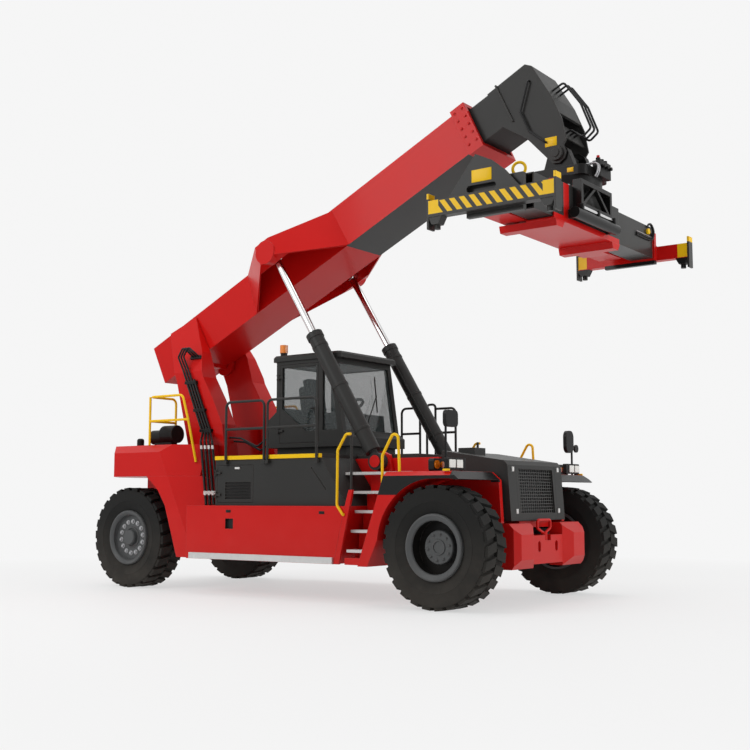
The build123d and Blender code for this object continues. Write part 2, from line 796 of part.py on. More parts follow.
def mirrors():
    """The mirror posts, a wide head on the right, a tall and a small round one on the left."""
    x = FRONT_AXLE_X + 125
    z = FENDER_TOP
    post = bar((x, -1845, z), (x, -1845, z + 640), 16)
    wide = span(x - 33, x + 27, -1865, -1575, z + 590, z + 815)
    right = post + fillet(wide.edges().filter_by(Axis.X), 60)
    tall = span(x - 33, x + 27, 1620, 1865, z + 350, z + 700)
    left = mirrored(post) + fillet(tall.edges().filter_by(Axis.X), 100)
    left += bar((x, 1845, z + 425), (x, 1990, z + 425), 9)
    left += bar((x - 12, 1990, z + 425), (x + 18, 1990, z + 425), 62)
    return group(right, left)


def screen_at(z):
    """The x of the windscreen's outer face at a height."""
    return CAB_FRONT - CAB_RAKE * (z - WINDOW_LOW) / (CAB_HIGH - WINDOW_LOW)


def cab_windows():
    """The holes of the front, rear, right and left windows."""
    z0 = WINDOW_LOW + 20
    z1 = CAB_HIGH - 75
    y = CAB_HALF - 90
    deep = CAB_WALL + 200
    nose = [
        (screen_at(z0) - deep, z0),
        (screen_at(z0) + 60, z0),
        (screen_at(z1) + 60, z1),
        (screen_at(z1) - deep, z1),
    ]
    pillar = [(screen_at(z0) - 100, z0), (screen_at(z1) - 100, z1)]
    quarter = pillar + [(DOOR_FRONT + 80, z1), (DOOR_FRONT + 80, z0)]
    long = pillar + [(CAB_REAR + 110, z1), (CAB_REAR + 110, z0 + 350), (CAB_REAR + 590, z0)]
    return (
        side(nose, -y, y),
        span(CAB_REAR - 60, CAB_REAR + deep, -y, y, SHROUD_TOP + 200, z1),
        side(quarter, -CAB_HALF - 60, deep - CAB_HALF),
        side(long, CAB_HALF - deep, CAB_HALF + 60),
    )


def door_hole():
    """The cab door's opening as x0, x1, z0, z1."""
    return CAB_REAR + 70, DOOR_FRONT, CAB_LOW + 70, CAB_HIGH - 55


def cab_shell():
    """The cab's walls and pillars, hollow, with its openings, rear shroud, low nose and plinth."""
    w = CAB_WALL
    outline = [
        (CAB_REAR - SHROUD, CAB_LOW),
        (CAB_FRONT + CAB_NOSE, CAB_LOW),
        (CAB_FRONT + CAB_NOSE, WINDOW_LOW - 90),
        (CAB_FRONT, WINDOW_LOW),
        (CAB_FRONT - CAB_RAKE, CAB_HIGH),
        (CAB_REAR, CAB_HIGH),
        (CAB_REAR, SHROUD_TOP + 135),
        (CAB_REAR - SHROUD, SHROUD_TOP),
    ]
    core = [
        (CAB_REAR + w, CAB_LOW + w),
        (CAB_FRONT - w, CAB_LOW + w),
        (CAB_FRONT - w, WINDOW_LOW),
        (screen_at(CAB_HIGH - w) - w, CAB_HIGH - w),
        (CAB_REAR + w, CAB_HIGH - w),
    ]
    shell = side(outline, -CAB_HALF, CAB_HALF) - side(core, w - CAB_HALF, CAB_HALF - w)
    for hole in cab_windows():
        shell -= hole
    x0, x1, z0, z1 = door_hole()
    shell -= span(x0, x1, -CAB_HALF - 1, w + 1 - CAB_HALF, z0, z1)
    shell += span(CAB_REAR - 60, CAB_FRONT, 100 - CAB_HALF, CAB_HALF - 100, DECK_TOP, CAB_LOW)
    return shell + hinge_pins(x0 - 10, -CAB_HALF, (z0 + 200, z1 - 200))


def cab_roof():
    """The roof cap with its overhang and rounded corners."""
    nose = CAB_FRONT - CAB_RAKE + 130
    cap = span(CAB_REAR - 90, nose, -CAB_HALF - 30, CAB_HALF + 30, CAB_HIGH, ROOF_TOP)
    cap = fillet(cap.edges().filter_by(Axis.Z), 90)
    return chamfer(cap.faces().sort_by(Axis.Z)[-1].edges(), 35)


def cab_glass():
    """The fixed panes, set in the middle of the walls."""
    screen, rear, right, left = cab_windows()
    mid = CAB_WALL / 2
    low = CAB_LOW
    high = CAB_HIGH
    inner = mid - GLASS_T
    sheet = [
        (screen_at(low) - mid, low),
        (screen_at(low) - inner, low),
        (screen_at(high) - inner, high),
        (screen_at(high) - mid, high),
    ]
    return group(
        screen & side(sheet, -CAB_HALF, CAB_HALF),
        rear & span(CAB_REAR + mid, CAB_REAR + mid + GLASS_T, -CAB_HALF, CAB_HALF, low, high),
        right & span(CAB_REAR, CAB_FRONT, mid - CAB_HALF, mid + GLASS_T - CAB_HALF, low, high),
        left & span(CAB_REAR, CAB_FRONT, CAB_HALF - mid - GLASS_T, CAB_HALF - mid, low, high),
    )


def door_window(y0, y1):
    """The cab door's window, with its slanted low rear corner, from y0 to y1."""
    x0, x1, _, z1 = door_hole()
    low = WINDOW_LOW + 15
    outline = [
        (x0 + 50, low + 360),
        (x0 + 530, low),
        (x1 - 50, low),
        (x1 - 50, z1 - 50),
        (x0 + 50, z1 - 50),
    ]
    return side(outline, y0, y1)


def cab_door():
    """The cab door's leaf with its window hole, handle and hinge eyes."""
    x0, x1, z0, z1 = door_hole()
    gap = DOOR_GAP
    leaf = span(x0 + gap, x1 - gap, -CAB_HALF, CAB_WALL - CAB_HALF, z0 + gap, z1 - gap)
    leaf -= door_window(-CAB_HALF - 1, CAB_WALL + 1 - CAB_HALF)
    leaf += span(x1 - 40, x1 - 20, -CAB_HALF - 45, -CAB_HALF, CAB_LOW + 420, CAB_LOW + 640)
    return leaf + hinge_straps(x0 - 10, -CAB_HALF, (z0 + 200, z1 - 200), x0 + gap)


def cab_door_glass():
    """The door's pane."""
    y = CAB_WALL / 2 - CAB_HALF
    return door_window(y, y + GLASS_T)


def cab_seat():
    """The driver's seat on its box."""
    x = CAB_REAR + 200
    floor = CAB_LOW + CAB_WALL
    seat = span(x, x + 420, -230, 230, floor, floor + 330)
    seat += span(x - 40, x + 480, -260, 260, floor + 330, floor + 470)
    back = [
        (x - 40, floor + 470),
        (x + 90, floor + 470),
        (x - 10, floor + 1090),
        (x - 120, floor + 1090),
    ]
    return seat + side(back, -250, 250)


def cab_console():
    """The dash, the steering column and its wheel."""
    x = CAB_FRONT - CAB_WALL
    floor = CAB_LOW + CAB_WALL
    outline = [(x - 60, floor), (x - 260, floor), (x - 240, floor + 420), (x - 110, floor + 480)]
    dash = side(outline, -560, 560)
    dash += bar((x - 200, 0, floor + 400), (x - 330, 0, floor + 620), 35)
    tilt = Plane(origin=(x - 330, 0, floor + 620), z_dir=(-130, 0, 220))
    return dash + tilt * (Cylinder(210, 30) - Cylinder(170, 40)) + tilt * Box(40, 400, 20)


def beacon():
    """The flashing lamp and its foot at the roof's rear right corner."""
    x = CAB_REAR + 20
    y = 150 - CAB_HALF
    foot = bar((x, y, ROOF_TOP), (x, y, ROOF_TOP + 60), 55)
    return foot + bar((x, y, ROOF_TOP + 60), (x, y, ROOF_TOP + 190), 65)


def pipe_top(i):
    """The upper end of tower pipe i."""
    return FRONT_AXLE_X - 5780 + 62 * i, -POST_Y - 36, PIVOT_Z - 400


def tower_pipes():
    """The clamped pipes down the tower's right side and along the oblique face to the tank."""
    x = FRONT_AXLE_X
    y = -POST_Y - 36
    pieces = []
    for i in range(4):
        bend = (x - 5370 + 62 * i, y, 2560)
        rim = (x - 5040 + 50 * i, 36 * i - 1200, CW_TOP + 50)
        end = (x - 4755 + 50 * i, 36 * i - 1345, TANK_TOP + 7)
        pieces.append(tube([pipe_top(i), bend, rim, end], RAIL_R, 80))
    for cx, z in ((x - 5665, 3430), (x - 5450, 2950), (x - 5295, 2600)):
        pieces.append(span(cx - 130, cx + 130, y - 24, -POST_Y, z - 25, z + 25))
    pieces.append(Pos(x - 4735, -1263, 1560) * Rot(0, 0, CREASE_TURN) * Box(230, 46, 50))
    return pieces[0] + pieces[1:]


def hoses():
    """The hose loops at the tower's top and the two hoses from the tower to the cab."""
    x = FRONT_AXLE_X
    y, z = ear_foot()
    seat_z = z + 245
    face = Plane(origin=(x - 5650, y + 316 * 245 / 1020, seat_z), x_dir=(1, 0, 0), z_dir=(0, -1020, 316))
    block = face * Box(230, 60, 40, align=(Align.CENTER, Align.CENTER, Align.MIN))
    for i in range(3):
        a, b, c = pipe_top(i)
        run = [
            (a, b, c),
            (a - 90, b, c + 202),
            (a - 150, b - 50, c + 400),
            (a - 30, b - 60, c + 560),
            (a + 75, b - 30, c + 470),
            (a + 75, b + 80, c + 406),
        ]
        block += tube(run, HOSE_R, 45)
    lines = []
    for i in range(2):
        level = 2480 - 60 * i
        start = x - 4920 + 12 * i
        row = 90 * i - 640
        end = CAB_REAR - SHROUD
        lines.append(tube([
            (start, row, level),
            (start + 250, row, level - 20),
            (end - 330, row, level - 170),
            (end - 150, row, level - 60),
            (end, row, level - 60),
        ], HOSE_R, 90))
    return group(block, *lines)


def air_cleaner():
    """The air cleaner's drum and, behind it, the breather cap on the counterweight."""
    x = FRONT_AXLE_X - 5960
    z = CW_TOP + 190
    y = -1100
    drum = bar((x - 290, y, z - 40), (x, y, z - 40), 120) + bar((x - 20, y, z), (x + 280, y, z), 150)
    drum += span(x - 200, x + 200, y - 70, y + 70, CW_TOP, CW_TOP + 90)
    cap = bar((x - 730, -1000, CW_TOP), (x - 730, -1000, CW_TOP + 150), 62)
    return group(drum, fillet(cap.edges().sort_by(Axis.Z)[-1], 40))


def yellow_rails():
    """The rear guard rail, the stair rail and the mudguard's hoop of each side."""
    x = FRONT_AXLE_X
    r = RAIL_R
    y = -1440
    z = CW_TOP
    top = z + 805
    inner = -POST_Y - 60
    rear = x - 5990
    guard = tube([
        (rear, inner, z),
        (rear, inner, top),
        (rear, y, top),
        (x - 5230, y, top),
        (x - 5095, y, z + 400),
        (x - 5049, y + 145, z - 290),
    ], r, RAIL_BEND)
    guard += bar((rear, y, z), (rear, y, top), r)
    guard += bar((rear, y, z + 400), (x - 5097, y, z + 400), r)
    guard += bar((rear, inner, z + 400), (rear, y, z + 400), r)
    out = -TANK_Y - r
    foot = TANK_FRONT - 15
    stair = tube([
        (foot, out, TANK_TOP - 120),
        (foot - 105, out, TANK_TOP + 10),
        (foot - 95, out, DECK_TOP + 30),
        (foot + 55, out, DECK_TOP + 258),
        (foot + 140, out, DECK_TOP + 258),
    ], r, 60)
    stair += bar((foot, -TANK_Y, TANK_TOP - 120), (foot, out, TANK_TOP - 120), r)
    hoop = tube([
        (x - 868, 80 - FENDER_Y, FENDER_TOP - 290),
        (x - 868, 80 - FENDER_Y, FENDER_TOP + 220),
        (x - 612, 80 - FENDER_Y, FENDER_TOP + 650),
        (x - 580, 80 - FENDER_Y, FENDER_TOP),
    ], r, 60)
    slope = [(FENDER_FOOT, SILL_Z), (FENDER_BACK - 20, FENDER_TOP - FENDER_EDGE), (FENDER_BACK, SILL_Z)]
    hoop -= side(slope, -FENDER_Y, 0)
    hoop -= span(x - 700, x - 500, -FENDER_Y, 0, FENDER_TOP - 60, FENDER_TOP)
    return both(group(guard, stair, hoop))


def grey_rails():
    """The walkway's rails: two sections on the right box's side, three hoops on the left deck."""
    x = FRONT_AXLE_X
    r = RAIL_R
    y = -DECK_Y - r - 22
    low = BODY_TOP - 70
    top = DECK_TOP + 825
    mid = DECK_TOP + 405
    right = []
    for a, b in ((x - 3980, x - 3195), (x - 3130, x - 2180)):
        section = tube([(a, y, low), (a, y, top), (b, y, top), (b, y, low)], r, RAIL_BEND)
        section += bar((a, y, mid), (b, y, mid), r)
        for post in (a, b):
            section += span(post - 30, post + 30, y - r, -DECK_Y, low, low + 50)
        right.append(section)
    string = TANK_FRONT + 105
    right.append(bar((string, 20 - TANK_Y, TANK_TOP + 230), (string, 20 - TANK_Y, DECK_TOP + 278), r))
    right.append(bar((string, TANK_Y - 20, TANK_TOP + 230), (string, TANK_Y - 20, DECK_TOP + 278), r))
    y = DECK_Y - 180
    top += 55
    mid += 40
    path = [(x - 2909, y, DECK_TOP), (x - 2909, y, top), (x - 2532, y, top), (x - 2532, y, DECK_TOP)]
    rail = tube(path, r, RAIL_BEND)
    rail += bar((x - 2909, y, mid), (x - 2532, y, mid), r)
    hoop = tube([
        (x - 2390, y, DECK_TOP),
        (x - 2390, y, top + 45),
        (x - 2218, y, top + 45),
        (x - 2218, y, DECK_TOP),
    ], r, 60)
    path = [(x - 2218, y, top - 30), (x - 1820, y, top - 30), (x - 1820, y, TANK_TOP + 100)]
    hoop += tube(path, r, RAIL_BEND)
    hoop += bar((x - 2218, y, mid), (x - 1820, y, mid), r)
    return group(*right, rail, hoop - side(box_outline(), 0, DECK_Y))


def lift_mounts():
    """The bosses and pins on the body that hold the lift cylinders."""
    x = LIFT_BASE_X
    z = LIFT_BASE_Z
    boss = disc(x, z, -BODY_HALF - 68, -BODY_HALF, 150)
    boss += disc(x, z, -LIFT_Y - 90, -BODY_HALF, LIFT_PIN_R - RUN)
    boss += disc(x, z, -LIFT_Y - 90, -LIFT_Y - 76, 90)
    low = BODY_TOP - 210
    cheek = [(x - 170, low), (x + 200, low), (x + 150, z + 100), (x, z + 150), (x - 130, z + 80)]
    boss += side(cheek, -BODY_HALF - 60, -BODY_HALF)
    return both(boss)


def lift_line():
    """The start and the unit run of the lift cylinder in side view."""
    qx, qz = boom_at(LIFT_U, LIFT_V)
    dx = qx - LIFT_BASE_X
    dz = qz - LIFT_BASE_Z
    length = math.hypot(dx, dz)
    return dx / length, dz / length, length


def lift_barrel(sign):
    """A lift cylinder's barrel with its lower eye and gland."""
    cx, cz, _ = lift_line()
    y = sign * LIFT_Y

    def at(s):
        return LIFT_BASE_X + cx * s, y, LIFT_BASE_Z + cz * s

    piece = bar(at(0), at(200), 62) + bar(at(175), at(BARREL_LEN), BARREL_R)
    piece += bar(at(BARREL_LEN - 90), at(BARREL_LEN), BARREL_R + 12)
    piece += disc(LIFT_BASE_X, LIFT_BASE_Z, y - 70, y + 70, 130)
    piece -= bar(at(195), at(BARREL_LEN - 90), BARREL_BORE)
    piece -= bar(at(300), at(BARREL_LEN + 10), ROD_R + RUN)
    return piece - disc(LIFT_BASE_X, LIFT_BASE_Z, y - 80, y + 80, LIFT_PIN_R)


def lift_rod(sign):
    """A lift cylinder's rod with its eye, which stays clear of the boom's boss."""
    cx, cz, length = lift_line()
    y = sign * LIFT_Y

    def at(s):
        return LIFT_BASE_X + cx * s, y, LIFT_BASE_Z + cz * s

    piece = bar(at(length - ROD_TAIL), at(length - 60), ROD_R)
    x, _, z = at(length)
    piece += disc(x, z, y - 62, y + 62, 120)
    return piece + disc(x, z, y - 66, y + 66, 50)


def boom_outer():
    """The outer boom: a box tube with its collar, wear pads, pivot bosses and lift wings."""
    w = BOOM_WALL
    half = BOOM_HALF
    box = boom_block(BOOM_REAR, BOOM_FRONT, -half, half, BOOM_LOW, BOOM_HIGH)
    box += boom_block(BOOM_FRONT - 260, BOOM_FRONT, -half - 40, half + 40, BOOM_LOW - 40, BOOM_HIGH + 50)
    for sign in (-1, 1):
        box += lift_wing(sign)
    box -= boom_block(BOOM_REAR + w, BOOM_FRONT + 10, w - half, half - w, BOOM_LOW + w, BOOM_HIGH - w)
    for sign in (-1, 1):
        box += disc(PIVOT_X, PIVOT_Z, sign * half, sign * (half - 60), 200)
    box += boom_block(BOOM_FRONT - 240, BOOM_FRONT - 20, -300, 300, BOOM_LOW + w, INNER_LOW - SLIDE)
    return box - disc(PIVOT_X, PIVOT_Z, -half - 1, half + 1, PIVOT_R)


def ring_face(points, y):
    """A face in the boom's side view at y."""
    corners = [(x, y, z) for x, z in (boom_at(u, v) for u, v in points)]
    return make_face(Polyline(*corners, close=True))


def lift_wing(sign):
    """A hollow wing on the boom's side, open below, that carries the lift pin's boss."""
    u = LIFT_U
    v = LIFT_V
    high = BOOM_HIGH - 20
    root = [(u - 1137, BOOM_LOW), (u + 1047, BOOM_LOW), (u + 983, high), (u - 1047, high)]
    tip = [(u - 170, v - 140), (u + 170, v - 140), (u + 150, v + 190), (u - 150, v + 190)]
    wing = loft([ring_face(root, sign * (BOOM_HALF - 5)), ring_face(tip, sign * (BOSS_OUT - 15))])
    low = BOOM_LOW - 250
    hole = [(u - 1107, low), (u + 1013, low), (u + 953, high - 30), (u - 1017, high - 30)]
    end = [(u - 337, v - 456), (u + 318, v - 456), (u + 298, v + 186), (u - 317, v + 186)]
    wing -= loft([ring_face(hole, sign * BOOM_HALF), ring_face(end, sign * BOSS_IN)])
    x, z = boom_at(u, v)
    return wing + disc(x, z, sign * BOSS_IN, sign * BOSS_OUT, 190)


def head_outline():
    """The head's side plate in the boom's side view."""
    u = HEAD_U
    v = HEAD_V
    turns = [math.radians(a) for a in (20, -20, -60, -100, -140)]
    eye = [(u + 150 * math.cos(a), v + 150 * math.sin(a)) for a in turns]
    back = [(u - 541, INNER_LOW), (u - 541, INNER_HIGH + 20), (u + 169, INNER_HIGH + 35)]
    nose = [(u + 249, INNER_HIGH - 55), (u + 309, INNER_LOW - 65), (u + 295, v + 416), (u + 209, v + 93)]
    return back + nose + eye + [(u - 298, v + 485)]


def boom_inner():
    """The inner boom with its head plates, ring, curved front plate, hose bulkhead and head pin."""
    w = INNER_WALL
    half = INNER_HALF
    u = HEAD_U
    box = boom_block(INNER_REAR, u - 391, -half, half, INNER_LOW, INNER_HIGH)
    box -= boom_block(INNER_REAR - 1, u - 491, w - half, half - w, INNER_LOW + w, INNER_HIGH - w)
    box += boom_block(u - 376, u - 351, -half - 25, half + 25, INNER_LOW - 30, INNER_HIGH + 45)
    x, z = boom_at(u, HEAD_V)
    for sign in (-1, 1):
        box += boom_side(head_outline(), sign * (half - 30), sign * half)
        box += disc(x, z, sign * half, sign * (half + 45), 105)
    nose = [
        (u + 149, INNER_HIGH + 20),
        (u + 169, INNER_HIGH + 35),
        (u + 249, INNER_HIGH - 55),
        (u + 309, INNER_LOW - 65),
        (u + 295, HEAD_V + 523),
        (u + 259, HEAD_V + 523),
        (u + 271, INNER_LOW - 65),
        (u + 214, INNER_HIGH - 65),
    ]
    top = [
        (u - 491, INNER_HIGH - 5),
        (u + 169, INNER_HIGH + 5),
        (u + 169, INNER_HIGH + 35),
        (u - 491, INNER_HIGH + 20),
    ]
    low = [(u - 491, INNER_LOW), (u - 431, INNER_LOW), (u - 276, HEAD_V + 523), (u - 306, HEAD_V + 508)]
    for skin in (nose, top, low):
        box += boom_side(skin, 20 - half, half - 20)
    box += boom_block(u + 170, u + 190, 20 - half, half - 20, HEAD_V + 180, HEAD_V + 440)
    box += disc(x, z, -half - 60, half + 60, HEAD_PIN_R - RUN)
    pad = BOOM_HIGH - BOOM_WALL - SLIDE
    return box + boom_block(INNER_REAR + 20, INNER_REAR + 220, -300, 300, INNER_HIGH - 5, pad)


def head_hoses():
    """The hose loops in the head's front opening and the hose on its right side plate."""
    u = HEAD_U
    v = HEAD_V
    loops = []
    for y in (-140, -20, 100):
        loops.append(boom_tube([
            (u + 292, y, INNER_LOW + 125),
            (u + 489, y, INNER_LOW + 125),
            (u + 569, y, v + 553),
            (u + 539, y, v + 133),
            (u + 369, y, v + 93),
            (u + 269, y, v + 293),
            (u + 190, y, v + 293),
        ], HOSE_R, 50))
    out = -INNER_HALF - 45
    run = boom_tube([
        (u + 119, -INNER_HALF, INNER_HIGH - 240),
        (u + 119, out, INNER_HIGH - 240),
        (u - 191, out, INNER_LOW + 5),
        (u - 201, out, v + 523),
        (u - 61, out, v + 233),
        (u - 61, -INNER_HALF, v + 233),
    ], HOSE_R, 28)
    return group(*loops, run)


def head_yoke():
    """The yoke that hangs from the head pin, with the slewing ring's fixed half and its valves."""
    x, z = boom_at(HEAD_U, HEAD_V)
    plate = span(x - 430, x + 440, -400, 400, RING_TOP, YOKE_TOP)
    yoke = fillet(plate.edges().filter_by(Axis.Z), 110)
    ear = [
        (x - 230, YOKE_TOP - 10),
        (x + 260, YOKE_TOP - 10),
        (x + 150, z + 60),
        (x + 60, z + 130),
        (x - 60, z + 130),
        (x - 140, z + 60),
    ]
    for sign in (-1, 1):
        yoke += side(ear, sign * 210, sign * 335)
    yoke += span(x + 430, x + 550, -120, 225, RING_TOP, YOKE_TOP + 90)
    yoke += Pos(SLEW_X, 0, (RING_TOP + RING_LOW) / 2) * Cylinder(RING_R, RING_TOP - RING_LOW)
    return yoke - disc(x, z, -400, 400, HEAD_PIN_R)


def beam_cell(sign):
    """The beam's cell for one arm: long past the middle, short towards the arm's own end."""
    x = SLEW_X
    w = BEAM_WALL
    y0 = -sign * CELL_LONG
    y1 = sign * CELL_SHORT
    wide = sign * BEAM_HALF_W
    inner = sign * w / 2
    cell = span(x - inner, x + wide, y0, y1, BEAM_LOW, BEAM_TOP)
    cell -= span(x + inner, x + wide - sign * w, y0 - sign, y1 + sign, BEAM_LOW + w, BEAM_TOP - w)
    pad = BEAM_LOW + w + ARM_GAP - SLIDE
    return cell + span(x + sign * 80, x + sign * 380, y1 - sign * 250, y1, BEAM_LOW + w, pad)


def spreader_beam():
    """The spreader's twin-cell beam with its saddles, the seat under the slewing ring and a truss."""
    x = SLEW_X
    beam = beam_cell(1) + beam_cell(-1)
    for y in (20 - CELL_LONG, CELL_SHORT - 270):
        saddle = [
            (y, BEAM_LOW),
            (y + 270, BEAM_LOW),
            (y + 200, BEAM_LOW - 95),
            (y + 30, BEAM_LOW - 95),
        ]
        beam += front(saddle, x - BEAM_HALF_W - 10, x + BEAM_HALF_W + 10)
    beam += span(x - 360, x + BEAM_HALF_W, -480, 480, BEAM_TOP, RING_LOW - 60)
    beam += Pos(x, 0, RING_LOW - 30 - SLIDE / 2) * Cylinder(RING_R, 60 - SLIDE)
    beam += truss()
    z = BEAM_LOW + 130
    shaft = x + BEAM_HALF_W + 125
    beam += bar((shaft, -950, z), (shaft, 380, z), 75)
    for y in (-890, 280):
        beam += span(x + BEAM_HALF_W, shaft, y, y + 50, z - 60, z + 60)
    return beam


def truss():
    """The braced frame on the beam's front side, under the turntable."""
    x0 = SLEW_X + BEAM_HALF_W
    x1 = x0 + 130
    y0 = -740
    y1 = 240
    low = BEAM_LOW + 260
    high = RING_LOW - 60
    frame = span(x0, x1, y0, y1, high - 60, high) + span(x0, x1, y0, y1, low, low + 50)
    for y in (y0, y1 - 60):
        frame += span(x0, x1, y, y + 60, low, high)
    mid = (y0 + y1) / 2
    for sign in (-1, 1):
        foot = mid + sign * 430
        tip = mid + sign * 10
        brace = [
            (foot, low + 50),
            (foot - sign * 70, low + 50),
            (tip, high - 60),
            (tip + sign * 60, high - 60),
        ]
        frame += front(brace, x0 + 60, x0 + 120)
    return frame


def arm(sign):
    """A telescopic arm with its flange, end beam, gusset, corner posts and lock brackets."""
    x = SLEW_X
    w = BEAM_WALL
    t = ARM_WALL
    xa = x + sign * (w / 2 + ARM_GAP)
    xb = x + sign * (BEAM_HALF_W - w - ARM_GAP)
    z0 = BEAM_LOW + w + ARM_GAP
    z1 = BEAM_TOP - w - ARM_GAP
    inner = END_Y - END_T
    piece = span(xa, xb, -sign * ARM_IN, sign * inner, z0, z1)
    piece -= span(xa + sign * t, xb - sign * t, -sign * (ARM_IN + 1), sign * (inner - 40), z0 + t, z1 - t)
    wide = BEAM_HALF_W
    flange = span(x - wide, x + wide, sign * (inner - 75), sign * inner, BEAM_LOW - 60, BEAM_TOP - 110)
    flange -= span(xa + sign * t, xb - sign * t, sign * (inner - 76), sign * (inner - 40), z0 + t, z1 - t)
    piece += flange
    piece += span(x - END_HALF, x + END_HALF, sign * inner, sign * END_Y, BEAM_LOW, END_TOP)
    gusset = [
        (x - 660, END_TOP - 10),
        (x - 228, END_TOP + 530),
        (x + 5, END_TOP + 416),
        (x + 205, END_TOP + 252),
        (x + 430, END_TOP - 10),
    ]
    plate = side(gusset, sign * (END_Y - 95), sign * (END_Y - 55))
    hole = Pos(x - 145, sign * (END_Y - 75), END_TOP + 75) * Rot(90, 0, 0)
    piece += plate - hole * extrude(SlotOverall(440, 90), amount=60, both=True)
    brace = [
        (sign * (END_Y - 90), END_TOP - 10),
        (sign * (END_Y - 90), END_TOP + 180),
        (sign * (inner + 5), END_TOP - 10),
    ]
    for rib in (x - 420, x + 250):
        piece += front(brace, rib, rib + 30)
    for way in (-1, 1):
        cx = x + way * (END_HALF - 90)
        bracket = [
            (cx - 110, BEAM_LOW + 10),
            (cx + 110, BEAM_LOW + 10),
            (cx + 50, BEAM_LOW - 100),
            (cx - 50, BEAM_LOW - 100),
        ]
        piece += side(bracket, sign * (END_Y - 150), sign * (END_Y - 10))
        piece += Pos(cx, sign * (END_Y - 80), BEAM_LOW - 130) * Cylinder(40, 60)
        edge = x + way * END_HALF
        low = BEAM_LOW - LOCK_DROP
        piece += span(edge, edge + way * POST_T, sign * (END_Y - 150), sign * END_Y, low, END_TOP + 100)
    return piece


front_y = FRONT_TRACK / 2
rear_y = REAR_TRACK / 2
blank = tyre_blank()
nodes = {
    "chassis_frame": chassis_frame(),
    "counterweight": counterweight(),
    "rear_legs": rear_legs(),
    "boom_tower": boom_tower(),
    "side_tanks": side_tanks(),
    "tool_box": tool_box(),
    "left_box": left_box(),
    "box_door": box_door(),
    "deck": deck(),
    "steps": steps(),
    "treads": treads(),
    "fender_right": fender(),
    "fender_left": mirrored(fender()),
    "bumper": bumper(),
    "tow_pin": tow_pin(),
    "engine": engine(),
    "hood": hood(),
    "grille": grille(),
    "front_axle": front_axle(),
    "rear_axle": rear_axle(),
    "knuckle_right": knuckle(-1),
    "knuckle_left": knuckle(1),
    "lamp_pods": lamps(),
    "lamp_lenses": lenses(),
    "mirrors": mirrors(),
    "cab_shell": cab_shell(),
    "cab_roof": cab_roof(),
    "cab_glass": cab_glass(),
    "cab_door": cab_door(),
    "cab_door_glass": cab_door_glass(),
    "cab_seat": cab_seat(),
    "cab_console": cab_console(),
    "beacon": beacon(),
    "tower_pipes": tower_pipes(),
    "hoses": hoses(),
    "air_cleaner": air_cleaner(),
    "yellow_rails": yellow_rails(),
    "grey_rails": grey_rails(),
    "lift_mounts": lift_mounts(),
    "lift_barrel_right": lift_barrel(-1),
    "lift_barrel_left": lift_barrel(1),
    "lift_rod_right": lift_rod(-1),
    "lift_rod_left": lift_rod(1),
    "boom_outer": boom_outer(),
    "boom_inner": boom_inner(),
    "head_hoses": head_hoses(),
    "head_yoke": head_yoke(),
    "spreader_beam": spreader_beam(),
    "arm_right": arm(-1),
    "arm_left": arm(1),
    "tyre_front_right": tyre(blank, FRONT_AXLE_X, -front_y),
    "tyre_front_left": tyre(blank, FRONT_AXLE_X, front_y),
    "tyre_rear_right": tyre(blank, REAR_AXLE_X, -rear_y),
    "tyre_rear_left": tyre(blank, REAR_AXLE_X, rear_y),
    "rim_front_right": front_rim(-front_y),
    "rim_front_left": front_rim(front_y),
    "rim_rear_right": rear_rim(-rear_y),
    "rim_rear_left": rear_rim(rear_y),
}

os.makedirs("parts", exist_ok=True)
for name, piece in nodes.items():
    export_step(piece, f"parts/{name}.step")
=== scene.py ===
import logging
import math
from dataclasses import dataclass
from enum import Enum
from functools import cache
from typing import Callable, Sequence

import bmesh
import bpy
from mathutils import Euler, Matrix, Vector


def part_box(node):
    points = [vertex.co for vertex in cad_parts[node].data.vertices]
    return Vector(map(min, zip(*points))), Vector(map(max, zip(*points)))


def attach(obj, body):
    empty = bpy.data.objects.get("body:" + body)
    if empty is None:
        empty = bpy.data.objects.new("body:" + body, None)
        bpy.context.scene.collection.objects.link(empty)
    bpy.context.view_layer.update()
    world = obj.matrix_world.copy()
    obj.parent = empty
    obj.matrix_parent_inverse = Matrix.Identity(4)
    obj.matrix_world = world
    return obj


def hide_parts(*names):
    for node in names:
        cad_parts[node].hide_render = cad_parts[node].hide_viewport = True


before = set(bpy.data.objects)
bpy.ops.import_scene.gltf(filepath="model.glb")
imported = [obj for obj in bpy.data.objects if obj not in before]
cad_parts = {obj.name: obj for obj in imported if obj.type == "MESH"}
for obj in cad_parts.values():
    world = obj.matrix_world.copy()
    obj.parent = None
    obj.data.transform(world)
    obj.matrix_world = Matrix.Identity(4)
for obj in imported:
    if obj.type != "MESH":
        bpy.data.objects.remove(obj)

log = logging.getLogger("reach_stacker")
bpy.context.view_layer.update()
Pair = tuple[float, float]
Point = tuple[float, float, float]
Colour = tuple[float, float, float, float]
Socket = bpy.types.NodeSocket
Tree = bpy.types.NodeTree
Node = bpy.types.Node
Mesh = bmesh.types.BMesh


class Slot(Enum):
    """The record's material slots."""

    RED = "red_paint"
    GREY = "grey_paint"
    BLACK = "black_paint"
    YELLOW = "yellow_paint"
    CHROME = "rod_chrome"
    WINDOW = "window"
    LENS = "lens_clear"
    AMBER = "beacon_amber"
    RUBBER = "tyre_rubber"
    RIM = "rim_grey"
    FABRIC = "seat_fabric"
    CAST = "cast_dark"
    TREAD = "tread_zinc"
    HOSE = "hose_rubber"


class Side(Enum):
    """The machine's two sides, by the sign of Y."""

    RIGHT = -1
    LEFT = 1


class Axle(Enum):
    """The two axles."""

    FRONT = "front"
    REAR = "rear"


